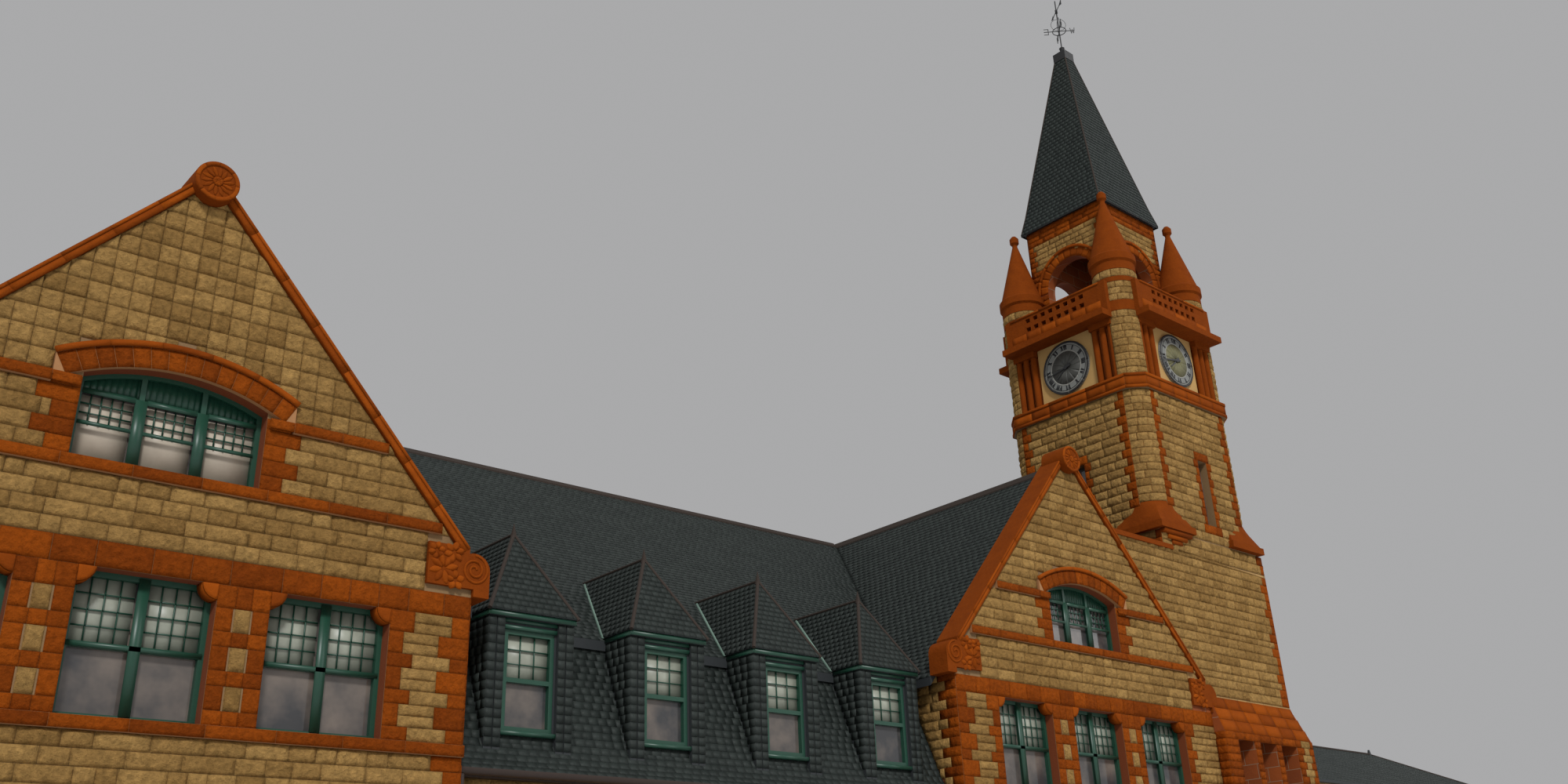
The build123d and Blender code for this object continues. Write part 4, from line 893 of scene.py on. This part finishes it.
def swept(along, points):
    """A surface drawn along X from a section of points, its height measured along the section."""
    points = np.array(points, float)
    steps = np.hypot(*np.diff(points, axis=0).T)
    reach = np.concatenate([[0], np.cumsum(steps)])
    slopes = np.diff(points, axis=0) / steps[:, None]

    def place(u, v, d):
        k = np.clip(np.searchsorted(reach, v, side="right") - 1, 0, len(steps) - 1)
        at = points[k] + slopes[k] * (v - reach[k])[:, None]
        out = np.stack([-slopes[k][:, 1], slopes[k][:, 0]], -1) * along
        return np.stack([along * u, at[:, 0] + out[:, 0] * d, at[:, 1] + out[:, 1] * d], -1)
    return place, reach[-1]


def flared_section(side):
    """The steep slope's section from its foot to its top."""
    foot, bend, top = np.array(steep_foot), np.array(steep_bend), np.array(steep_top)
    line = (bend - top) / np.hypot(*(bend - top))
    across = np.array((-line[1], line[0]))
    chord = foot - bend
    radius = chord @ chord / (2 * chord @ across)
    centre = bend + across * radius
    a0 = math.atan2(*(bend - centre)[::-1])
    a1 = math.atan2(*(foot - centre)[::-1])
    arc = [centre + abs(radius) * np.array((math.cos(a), math.sin(a))) for a in np.linspace(a1, a0, 7)]
    return [(p[0] * side, p[1]) for p in arc + [top]]


def behind_dormer(tile):
    middle = (tile[1] + tile[3]) / 2
    return any(abs(middle - x) < 0.49 for x in bay_centres) and tile[5] > 0.42


tiles = []
for side in (1, -1):
    surface, reach = swept(side, flared_section(side))
    tiles += slope_tiles(surface, 0.0, reach, lambda v: -range_half, lambda v: range_half)
kept = [tile for tile in tiles if not behind_dormer(tile)]
lay_slates("steep_slates", kept, tilt=0.005, margin=0.002, cells=(1, 2))

# %% [markdown]
# Dormers: slate-hung cheeks and pilasters, hipped roofs with rolls, copper valleys and green joinery.

# %%
dormer_half, roof_half, board_half, light_half, pilaster_wide = 0.545, 0.58, 0.555, 0.345, 0.105
hung_foot, dormer_head, board_low, board_high = 3.2, 4.6, 4.605, 4.66
roof_low, roof_top, hip_run, dormer_step = 4.665, 5.73, 0.555, 0.1
eave_front, dormer_front, dormer_recess = front + 0.3, front + 0.35, -0.4
peak_y = eave_front + hip_run
ridge_back = front + eave_y + (roof_top - eave_height) / main_rise
valley_foot = front + eave_y + (roof_low - eave_height) / main_rise
dormer_rise = roof_top - roof_low
side_length, hip_length = math.hypot(roof_half, dormer_rise), math.hypot(hip_run, dormer_rise)
small_slates = {"exposure": 0.085, "width": 0.1}


def slope_y(z):
    """Where the steep slope's surface is at a height."""
    return float(np.interp(z, (2.925, 3.1, 3.3, 4.65), (-5.485, -5.30, -5.16, -4.61)))


def roof_side(s, surface):
    """The slates and the copper valley of one side of a dormer's roof."""
    near = lambda v: -eave_front - hip_run * v / side_length
    deep = lambda v: -valley_foot - (ridge_back - valley_foot) * v / side_length
    low, high = (deep, near) if s < 0 else ((lambda v: -near(v)), (lambda v: -deep(v)))
    slates = slope_tiles(surface, 0.01, side_length - 0.02, low, high, **small_slates)
    edges = (deep(0), deep(side_length), deep(0) + 0.05, deep(side_length) + 0.05)
    if s > 0:
        edges = (-edges[2], -edges[3], -edges[0], -edges[1])
    return slates, (surface,) + edges + (0, side_length)


tiles, hung, copper_strips, fascias, mouldings, sills, rolls = ([] for _ in range(7))
for side, centre in [(side, centre) for side in (1, -1) for centre in bay_centres]:
    a, pilaster = side * centre, front_plane(side, -0.35)
    place = lambda x, y, z: (side * (a + x), side * y, z)
    for s in (-1, 1):
        along = (0, s * side, 0)
        surface = flat(place(s * roof_half, 0, roof_low), along, (-s * side * roof_half, 0, dormer_rise))
        slates, valley_strip = roof_side(s, surface)
        tiles += slates
        copper_strips.append(valley_strip)
        rolls.append((place(s * 0.575, eave_front, roof_low), place(0, peak_y, roof_top), 0.024))
        cheek = flat(place(s * dormer_half, 0, 0), along)
        for z0, z1, i in courses(hung_foot, dormer_head, dormer_step):
            if dormer_front < slope_y(z0) - 0.03:
                hung += strip(cheek, s * dormer_front, s * slope_y(z0), z0 - lap, z1 + lap, 0.13)
        board = flat(place(s * board_half, 0, 0), along)
        fascias += strip(board, s * (eave_front + 0.025), s * valley_foot, board_low, board_high)
        for z0, z1, i in courses(hung_foot, dormer_head, dormer_step):
            for inner, outer in ((light_half, dormer_half - pilaster_wide),
                                 (light_half + pilaster_wide, dormer_half)):
                hung += strip(pilaster, a + s * inner, a + s * outer, z0 - lap, z1 + lap)
    hip = flat(place(0, eave_front, roof_low), (side, 0, 0), (0, side * hip_run, dormer_rise))
    hip_half = lambda v: roof_half * (1 - v / hip_length)
    tiles += slope_tiles(hip, 0.01, hip_length - 0.02, lambda v: -hip_half(v), hip_half, **small_slates)
    rolls.append((place(0, peak_y, roof_top + 0.004), place(0, ridge_back, roof_top + 0.004), 0.022))
    rolls.append((place(0, peak_y, roof_top - 0.04), place(0, peak_y, roof_top + 0.14), 0.042, 0.004))
    fascias += strip(front_plane(side, -0.325), a - board_half, a + board_half, board_low, board_high)
    recess = front_plane(side, dormer_recess)
    for low, high in ((4.482, 4.525), (4.56, 4.6)):
        mouldings += strip(recess, a - 0.34, a + 0.34, low, high)
    sills += strip(recess, a - light_half, a + light_half, 3.335, 3.38)
    hung += strip(recess, a - 0.34, a + 0.34, hung_foot, 3.335, 0.13)
lay_slates("dormer_slates", tiles, height=0.004, tilt=0.007)
lay_slates("hung_slates", hung, height=0.002, tilt=0.004)
trim("valley_copper", copper_strips, copper, 0.012)
trim("dormer_fascias", fascias, green, 0.008)
trim("dormer_mouldings", mouldings, green, 0.03)
trim("dormer_sills", sills, green, 0.045)
rods("dormer_rolls", rolls, ridge_metal)

# %% [markdown]
# Glazing bars, meeting rails, curtains and blinds.

# %%
sash_low, sash_high, pane_edge, mullion_half = 3.775, 4.355, 0.56, 0.05
attic_sashes = ((-0.81, -0.342), (-0.232, 0.232), (0.342, 0.81))
dormer_pane, dormer_sash_low, dormer_sash_high, board_wide = 0.27, 3.955, 4.43, 0.06
transom_low, transom_high, transom_half = 3.728, 3.772, 0.59
mullion_low, mullion_high, frame_foot = 3.13, 4.39, 3.15
post_off, post_half, post_low, post_high = 0.287, 0.055, 5.40, 6.09
attic_foot, attic_transom, attic_low, attic_top, attic_head = 5.43, 5.745, 5.78, 6.05, 6.1


def bars(surface, u0, u1, v0, v1, across, upward, width=0.012):
    """The glazing bars of one sash."""
    found = []
    for i in range(1, across):
        u = u0 + (u1 - u0) * i / across
        found += strip(surface, u - width / 2, u + width / 2, v0, v1)
    for j in range(1, upward):
        v = v0 + (v1 - v0) * j / upward
        found += strip(surface, u0, u1, v - width / 2, v + width / 2)
    return found


panes, heads, blinds, curtains, rails = ([] for _ in range(5))
for side in (1, -1):
    bar_plane, pane_plane = front_plane(side, -reveal - 0.045), front_plane(side, -reveal - 0.0595)
    rail_plane = front_plane(side, -reveal)
    for axis in axes:
        a = side * axis
        for u in [a + k * window_spacing for k in (-1, 0, 1)]:
            rails += strip(rail_plane, u - mullion_half, u + mullion_half, mullion_low, mullion_high)
            for low, high in ((-pane_edge, -mullion_half), (mullion_half, pane_edge)):
                panes += bars(bar_plane, u + low, u + high, sash_low, sash_high, 4, 4)
                curtains += strip(pane_plane, u + low, u + high, sash_low, sash_high)
            rails += strip(rail_plane, u - transom_half, u + transom_half, transom_low, transom_high)
            rails += strip(rail_plane, u - paired_half, u + paired_half, sill_high, frame_foot)
        for post in (a - post_off, a + post_off):
            rails += strip(rail_plane, post - post_half, post + post_half, post_low, post_high)
        for low, high in attic_sashes:
            panes += bars(bar_plane, a + low, a + high, attic_low, 6.06, 5, 3)
            rails += strip(rail_plane, a + low, a + high, attic_transom, attic_low)
            rails += strip(rail_plane, a + low, a + high, attic_top, attic_head)
            if side > 0 and axis < 0:
                blinds += strip(pane_plane, a + low, a + high, attic_foot, attic_top)
        for u in np.arange(-0.81, 0.8, board_wide):
            reach = max(abs(u), abs(u + board_wide))
            arch = attic_centre + math.sqrt((attic_radius - 0.03) ** 2 - reach ** 2)
            heads += strip(bar_plane, a + u, a + u + board_wide, 6.08, arch)
    for a in [side * centre for centre in bay_centres]:
        sash = (a - dormer_pane, a + dormer_pane, dormer_sash_low, dormer_sash_high)
        panes += bars(front_plane(side, dormer_recess - 0.05), *sash, 3, 3)
        if side > 0:
            curtains += strip(front_plane(side, dormer_recess - 0.0645), *sash)
trim("glazing_bars", panes, green, 0.010)
trim("attic_heads", heads, green, 0.012)
trim("sash_rails", rails, green, 0.012)
trim("blinds", blinds, blind, 0.0005)
trim("curtains", curtains, curtain, 0.0005)

# %% [markdown]
# The pavilions' inner returns, the range's ground storey, and arches of the ground storey.

# %%
store = {"b": [], "r": []}
for sx, sy in [(sx, sy) for sx in (1, -1) for sy in (1, -1)]:
    surface, s = flat((sx * range_half, 0, 0), (0, -sx, 0)), -sx * sy
    for z0, z1, i in courses(0, 2.925, 0.124):
        gather(store, Row(z0, z1, s * front, s * (front + wall), "r").blocks(surface, 0.2, 0.5))
    for z0, z1, i in courses(3.0, 4.7, 0.1295):
        row = Row(z0, z1, s * front, s * slope_y((z0 + z1) / 2))
        row.paint(s * front, s * (front + quoin(i, 0.2, 0.34)), "r")
        gather(store, row.blocks(surface))
for side in (1, -1):
    surface = front_plane(side, -wall)
    for z0, z1, i in courses(0, 2.85, 0.124):
        row = Row(z0, z1, -range_half, range_half)
        for x in bay_centres:
            row.arch(x, range_light, range_spring, range_sill, quoin(i, 0.26, 0.16))
        gather(store, row.blocks(surface))
stamp("return_buff", store["b"], (3, 2), buff)
stamp("return_red", store["r"], (3, 2), red, relief=0.008)
ground_arches = []
for side in (1, -1):
    spots = [(side * axis + place, spring, half, 0.0)
             for axis in axes for place, half, spring, sill in ground_lights]
    spots += [(x, range_spring, range_light, -wall) for x in bay_centres]
    for u, spring, radius, out in spots:
        ring, reach = fan(front_plane(side, out), u, spring, radius), math.pi / 2 * radius
        ground_arches += strip(ring, -reach, reach, radius, radius + arch_ring, 0.14)
stamp("ground_arches", ground_arches, (3, 2), red, relief=0.008)

# %% [markdown]
# Slates and rolls of the wing's hipped roof.

# %%
wing_start, wing_end, wing_middle, wing_reach, wing_eave, wing_rise = 13.1, 22.785, -3.185, 2.2, 3.79, 1.175
wing_length = math.hypot(wing_reach, wing_rise)
shrink = lambda v: wing_reach * v / wing_length
slate_top = wing_length - 0.03
wing_south = flat((0, wing_middle - wing_reach, wing_eave), (1, 0, 0), (0, wing_reach, wing_rise))
wing_north = flat((0, wing_middle + wing_reach, wing_eave), (-1, 0, 0), (0, -wing_reach, wing_rise))
wing_east = flat((wing_end, wing_middle, wing_eave), (0, 1, 0), (-wing_reach, 0, wing_rise))
tiles = slope_tiles(wing_south, 0.02, slate_top, lambda v: wing_start, lambda v: wing_end - 0.01 - shrink(v))
tiles += slope_tiles(wing_north, 0.02, slate_top, lambda v: -wing_end + 0.01 + shrink(v),
                     lambda v: -wing_start)
tiles += slope_tiles(wing_east, 0.04, slate_top, lambda v: -wing_reach + shrink(v),
                     lambda v: wing_reach - shrink(v))
lay_slates("wing_slates", tiles, height=0.004)
hip_x = wing_end - wing_reach
rods("wing_rolls", [((wing_start, wing_middle, 4.97), (hip_x, wing_middle, 4.97), 0.03)] + [
    ((hip_x, wing_middle, 4.965), (wing_end - 0.04, wing_middle + s * (wing_reach - 0.04), 3.815), 0.025)
    for s in (-1, 1)], ridge_metal)

# %% [markdown]
# Masonry of the tower's shafts.

# %%
outs = ((0, -1), (1, 0), (0, 1), (-1, 0))
corner_signs = [(sx, sy) for sx in (-1, 1) for sy in (-1, 1)]
shaft_foot, band_low, band_high, cornice_high = 7.81, 10.575, 10.875, 12.225
slit_half, slit_low, slit_high, slit_off = 0.1425, 8.15, 9.425, 0.1825


def face(k, half):
    """One of the tower's four faces: 0 is the street, then anticlockwise from above."""
    x, y = outs[k]
    return flat((tower.x + x * half, tower.y + y * half, 0), (-y, x, 0))


store = {"b": [], "r": []}
for z0, z1, i in courses(shoulder_top, 7.79, 0.155):
    row = Row(z0, z1, 9.615, lower_right - 0.02)
    row.paint(lower_right - quoin(i, 0.22, 0.12), lower_right, "r")
    gather(store, row.blocks(street))
for k, left_end, half, top in ((1, tower_half, lower_right - tower.x, 7.63), (2, 1.735, tower_half, 7.8),
                               (3, tower_half, tower_half, 7.8)):
    for z0, z1, i in courses(weathering_top, top, 0.155):
        row = Row(z0, z1, -left_end, tower_half)
        row.quoins(-left_end, tower_half, quoin(i, 0.22, 0.12))
        gather(store, row.blocks(face(k, half)))
shaft_courses = courses(shaft_foot, slit_low, 0.17) + courses(slit_low, slit_high, 0.159)
shaft_courses += courses(slit_high, band_low, 0.164)
for k, slit in enumerate((slit_off, 0.0, -slit_off, 0.0)):
    for z0, z1, i in shaft_courses:
        row = Row(z0, z1, -face_half, face_half)
        row.quoins(-face_half, face_half, quoin(i, 0.21, 0.12))
        if slit_low - 0.15 < row.middle < slit_high + 0.125:
            row.about(slit, slit_half + quoin(i, 0.15, 0.09), "r")
        if slit_low < row.middle < slit_high:
            row.about(slit, slit_half, None)
        gather(store, row.blocks(face(k, tower_half)))
stamp("tower_buff", store["b"], (7, 4), buff, relief=0.032, height=0.006)
stamp("tower_red", store["r"], (4, 3), red, relief=0.008)

# %% [markdown]
# The tower's bands, weatherings and corbel steps.

# %%
bands, lips = [], []
belt_low, belt_high, belt_face, belt_half, corner_off = 10.635, 10.815, 1.615, 1.333, 1.474
belt_edges = ((belt_high, band_high), (band_low, belt_low))
for k in range(4):
    surface = face(k, belt_face)
    bands += strip(surface, -belt_half, belt_half, belt_low, belt_high, 0.42)
    for low, high in belt_edges:
        lips += strip(surface, -belt_half, belt_half, low, high, 0.84)
for sx, sy in corner_signs:
    surface = flat((tower.x + sx * corner_off, tower.y + sy * corner_off, 0), (-sy, sx, 0))
    bands += strip(surface, -0.2, 0.2, belt_low, belt_high)
    for low, high in belt_edges:
        lips += strip(surface, -0.204, 0.204, low, high)
weathered = flat((lower_right, 0, 7.64), (0, 1, 0), (-0.17, 0, 0.17))
for low, high in ((0.0, 0.12), (0.12, 0.24)):
    bands += strip(weathered, front, front + 2 * tower_half, low, high, 0.45)
lips += strip(face(1, lower_right - tower.x), -tower_half, tower_half, 7.585, 7.64, 0.9)
for j, half in enumerate((0.42, 0.29, 0.15)):
    step = strip(street, 10.035 - half, 10.035 + half, shaft_foot - 0.085 * (j + 1), shaft_foot - 0.085 * j)
    trim("corbel_step_%d" % j, step, red_smooth, 0.09 - 0.025 * j, (2, 1))
parapet_face, parapet_half = 1.665, 1.1
for k in range(4):
    rail = face(k, parapet_face)
    for low, high in ((12.835, 12.875), (cornice_high, 12.275)):
        lips += strip(rail, -parapet_half, parapet_half, low, high, 0.73)
    bands += strip(rail, -parapet_half, parapet_half, 12.285, 12.48, 0.37)
stamp("tower_band_stones", bands, (4, 2), red_smooth, relief=0.003, height=0.006)
stamp("tower_lips", lips, (2, 1), red_smooth, relief=0, height=0.018, margin=0.002)

# %% [markdown]
# The tower's red base, with its three slits and its splayed top.

# %%
base_middle, base_pitch, base_slit, splay_low, splay_rise = 11.58, 0.69, 0.265, 4.325, 0.605
base_front, slit_foot, slit_head, stripe_left = front - base_out, 1.5, 4.25, 12.58
base = {"b": [], "r": []}
plinth = flat((0, base_front, 0), (1, 0, 0))
for z0, z1, i in courses(0, splay_low, 0.124):
    row = Row(z0, z1, base_left, base_right, "r")
    row.paint(stripe_left + quoin(i, 0.2, 0.12), base_right - quoin(i, 0.16, 0.1), "b")
    for k in (-1, 0, 1) if slit_foot < row.middle < slit_head else ():
        row.about(base_middle + k * base_pitch, base_slit, None)
    gather(base, row.blocks(plinth, 0.16, 0.4))
    for x, sign, near in ((base_left, -1, front), (base_right, 1, front + wall)):
        surface = flat((x, 0, 0), (0, sign, 0))
        gather(base, Row(z0, z1, sign * near, sign * base_front, "r").blocks(surface, 0.16, 0.4))
splay = flat((0, base_front, splay_low), (1, 0, 0), (0, base_out, splay_rise))
side_splay = flat((base_right, 0, splay_low), (0, 1, 0), (lower_right - base_right, 0, splay_rise))
splays = []
for z0, z1, i in courses(0, 0.637, 0.212):
    z = (z0 + z1) / 2
    splays += strip(splay, base_left, base_right - 0.02 - 0.29 * z, z0, z1, 0.47)
    splays += strip(side_splay, front - 0.17 + 0.3 * z, front + 2 * tower_half, z0, z1, 0.47)
stamp("base_buff", base["b"], (5, 3), buff)
stamp("base_red", base["r"], (4, 2), red, relief=0.006)
stamp("base_splay", splays, (4, 2), red_smooth, relief=0.003, height=0.008, margin=0.008)

# %% [markdown]
# Stones round the corner turrets: their outer arcs below the cornice, and whole rings above it.

# %%
shaft_radius, shaft_arc, turret_off = 0.415, 0.75, 1.145
turret_buff = []
for sx, sy in corner_signs:
    shaft = around(tower.x + sx * turret_off, tower.y + sy * turret_off, shaft_radius)
    facing = math.atan2(sy, sx)
    for low, high, half_arc in ((8.375, band_low, shaft_arc), (band_high, cornice_high, shaft_arc),
                                (12.44, 12.85, math.pi), (12.95, 13.12, math.pi)):
        for z0, z1, i in courses(low, high, 0.15):
            a = (facing - half_arc) * shaft_radius + (0.1 * rng.rand() if half_arc == math.pi else 0)
            limit = a + 2 * half_arc * shaft_radius
            while a < limit - 0.05:
                b = min(limit, a + 0.16 + 0.16 * rng.rand())
                b = limit if limit - b < 0.08 else b
                turret_buff.append((shaft, a, a, b, b, z0, z1))
                a = b
stamp("turret_buff", turret_buff, (6, 4), buff, relief=0.020, height=0.004)

# %% [markdown]
# The belfry's stones, with the rings and hoods of its arches.

# %%
arch_radius, arch_spring, arch_sill, belfry_half, belfry_top = 0.584, 13.56, 12.7, 0.945, 15.09
panel_low, panel_high = 14.1, 14.72
belfry, voussoirs, hoods = {"b": [], "r": []}, [], []
for k in range(4):
    surface = face(k, belfry_half)
    for z0, z1, i in courses(cornice_high, belfry_top, 0.119):
        row = Row(z0, z1, -belfry_half, belfry_half, "r")
        if panel_low < row.middle < panel_high:
            row.about(0, belfry_half - quoin(i, 0.2, 0.13), "b")
        row.arch(0, arch_radius, arch_spring, arch_sill)
        gather(belfry, row.blocks(surface, 0.16, 0.4))
    reach = math.pi / 2 * arch_radius
    voussoirs += strip(fan(surface, 0, arch_spring, arch_radius), -reach, reach, arch_radius,
                       arch_radius + arch_ring, 2 * reach / 13)
    outer, reach = arch_radius + arch_ring, math.pi / 2 * (arch_radius + arch_ring)
    hoods += strip(fan(surface, 0, arch_spring, outer), -reach, reach, outer - 0.01, outer + 0.05, reach / 4)
stamp("belfry_buff", belfry["b"], (5, 3), buff)
stamp("belfry_red", belfry["r"], (3, 2), red, relief=0.005)
stamp("belfry_voussoirs", voussoirs, (4, 3), red_smooth, relief=0.002, height=0.008, margin=0.002)
trim("belfry_hoods", hoods, red_smooth, 0.034, (6, 2))

# %% [markdown]
# The spire's slates and eaves.

# %%
spire_eave, spire_bend, spire_top = (1.027, 15.09), (0.925, 15.52), (0.145, 19.5)
tiles = []
for k in range(4):
    x, y = outs[k]
    for (low, z0), (high, z1) in ((spire_eave, spire_bend), (spire_bend, spire_top)):
        rise = Vector((-x * (low - high), -y * (low - high), z1 - z0))
        surface = flat((tower.x + x * low, tower.y + y * low, z0), (-y, x, 0), rise)
        ends = lambda v: low - (low - high) * v / rise.length
        tiles += slope_tiles(surface, 0, rise.length, lambda v: -ends(v), ends, exposure=0.095, width=0.12)
lay_slates("spire_slates", tiles, height=0.004, tilt=0.007)
eaves = [(face(k, spire_eave[0]), -1.03, -1.03, 1.03, 1.03, 15.065, 15.105) for k in range(4)]
trim("spire_eaves", eaves, dark_iron, 0.006)

# %% [markdown]
# Clock dials: rings, Roman hours set round the centre, and the dark frame.

# %%
dial_z, dial_plane, centre_radius, hour_foot, hour_tall = 11.5, 1.5, 0.34, 0.372, 0.092
numerals = ["XII", "I", "II", "III", "IV", "V", "VI", "VII", "VIII", "IX", "X", "XI"]


def strokes(text):
    """A Roman number as slanted strokes: left low, left high, right low, right high, all from its middle."""
    bar, slim = 0.034, 0.014
    widths = {"I": 0.038, "V": 0.078, "X": 0.078}
    x, found = -sum(widths[c] for c in text) / 2, []
    for c in text:
        m, a, b = x + widths[c] / 2, x + 0.006, x + widths[c] - 0.006
        if c == "I":
            found.append((m - bar / 2, m - bar / 2, m + bar / 2, m + bar / 2))
        elif c == "V":
            found.append((m - bar / 2, a, m + bar / 2, a + bar))
            found.append((m - slim / 2, b - slim, m + slim / 2, b))
        else:
            found.append((b - bar, a, b, a + bar))
            found.append((a, b - slim, a + slim, b))
        x += widths[c]
    return found


def hour_plane(surface, angle):
    """The dial with its up axis turned to an hour, starting at the foot of the numbers."""
    c, s = math.cos(angle), math.sin(angle)
    return lambda u, v, d: surface(u * c + (v + hour_foot) * s, dial_z - u * s + (v + hour_foot) * c, d)


frames, marks, pale = [], [], []
for k in range(4):
    surface = face(k, dial_plane)
    frames += circle(surface, 0, dial_z, 0.503, 0.545, 0.545)
    pale += circle(surface, 0, dial_z, 0.345, 0.363, 0.363) + circle(surface, 0, dial_z, 0.485, 0.500, 0.500)
    frames += circle(surface, 0, dial_z, 0.468, 0.474, 0.474)
    for hour, text in enumerate(numerals):
        hour_surface = hour_plane(surface, math.radians(30 * hour))
        marks += [(hour_surface,) + stroke + (0.0, hour_tall) for stroke in strokes(text)]
for k in range(4):
    centre = circle(face(k, dial_plane), 0, dial_z, 0.028, centre_radius, centre_radius, 12)
    # The street dial's centre takes the lighter copy of the centre's colour, which is painted light.
    trim("dial_centre_%d" % k, centre, dial_centre_painted_light if k == 0 else dial_centre, 0.0205, (4, 1))
trim("dial_frames", frames, dark_iron, 0.029, (8, 1))
trim("dial_rings", pale, dial_pale, 0.0218, (8, 1))
trim("dial_numbers", marks, dark_iron, 0.0215)

# %% [markdown]
# Weather vane: letters as plain bars on the fixed arms, and scrolls that brace them. Metal hips of the spire.

# %%
arm_z, letter_wide, letter_tall, letter_out = 20.39, 0.1, 0.15, 0.30
# Each letter's bars, from one end to the other, in a unit square.
letters = {"N": ((0, 0, 0, 1), (0, 1, 1, 0), (1, 0, 1, 1)),
           "E": ((0, 0, 0, 1), (0, 0, 1, 0), (0, 0.5, 0.8, 0.5), (0, 1, 1, 1)),
           "S": ((0, 0, 1, 0), (1, 0, 1, 0.5), (1, 0.5, 0, 0.5), (0, 0.5, 0, 1), (0, 1, 1, 1)),
           "W": ((0, 1, 0.25, 0), (0.25, 0, 0.5, 0.7), (0.5, 0.7, 0.75, 0), (0.75, 0, 1, 1))}
upright = Vector((0, 0, 1))
pairs = []
for j, lines in enumerate(letters.values()):
    angle = math.radians(45 + 90 * j)
    out = Vector((math.cos(angle), math.sin(angle), 0))
    arm = Vector((tower.x, tower.y, arm_z))
    centre = arm + out * letter_out
    corner = lambda x, z: centre + out * (x - 0.5) * letter_wide + upright * ((z - 0.5) * letter_tall)
    pairs += [(corner(x0, z0), corner(x1, z1), 0.009) for x0, z0, x1, z1 in lines]
    curl = [arm + out * (0.02 + 0.15 * math.sin(t)) + upright * (0.02 + 0.16 * (1 - math.cos(t)))
            for t in np.linspace(0, math.pi, 8)]
    pairs += [(a, b, 0.006) for a, b in zip(curl, curl[1:])]
rods("vane_letters", pairs, dark_iron, sides=6)
hips = []
for sx, sy in corner_signs:
    corner = lambda r, z: (tower.x + sx * r, tower.y + sy * r, z)
    hips += [(corner(1.022, 15.1), corner(*spire_bend), 0.018),
             (corner(*spire_bend), corner(0.147, 19.5), 0.018)]
rods("spire_hips", hips, ridge_metal)
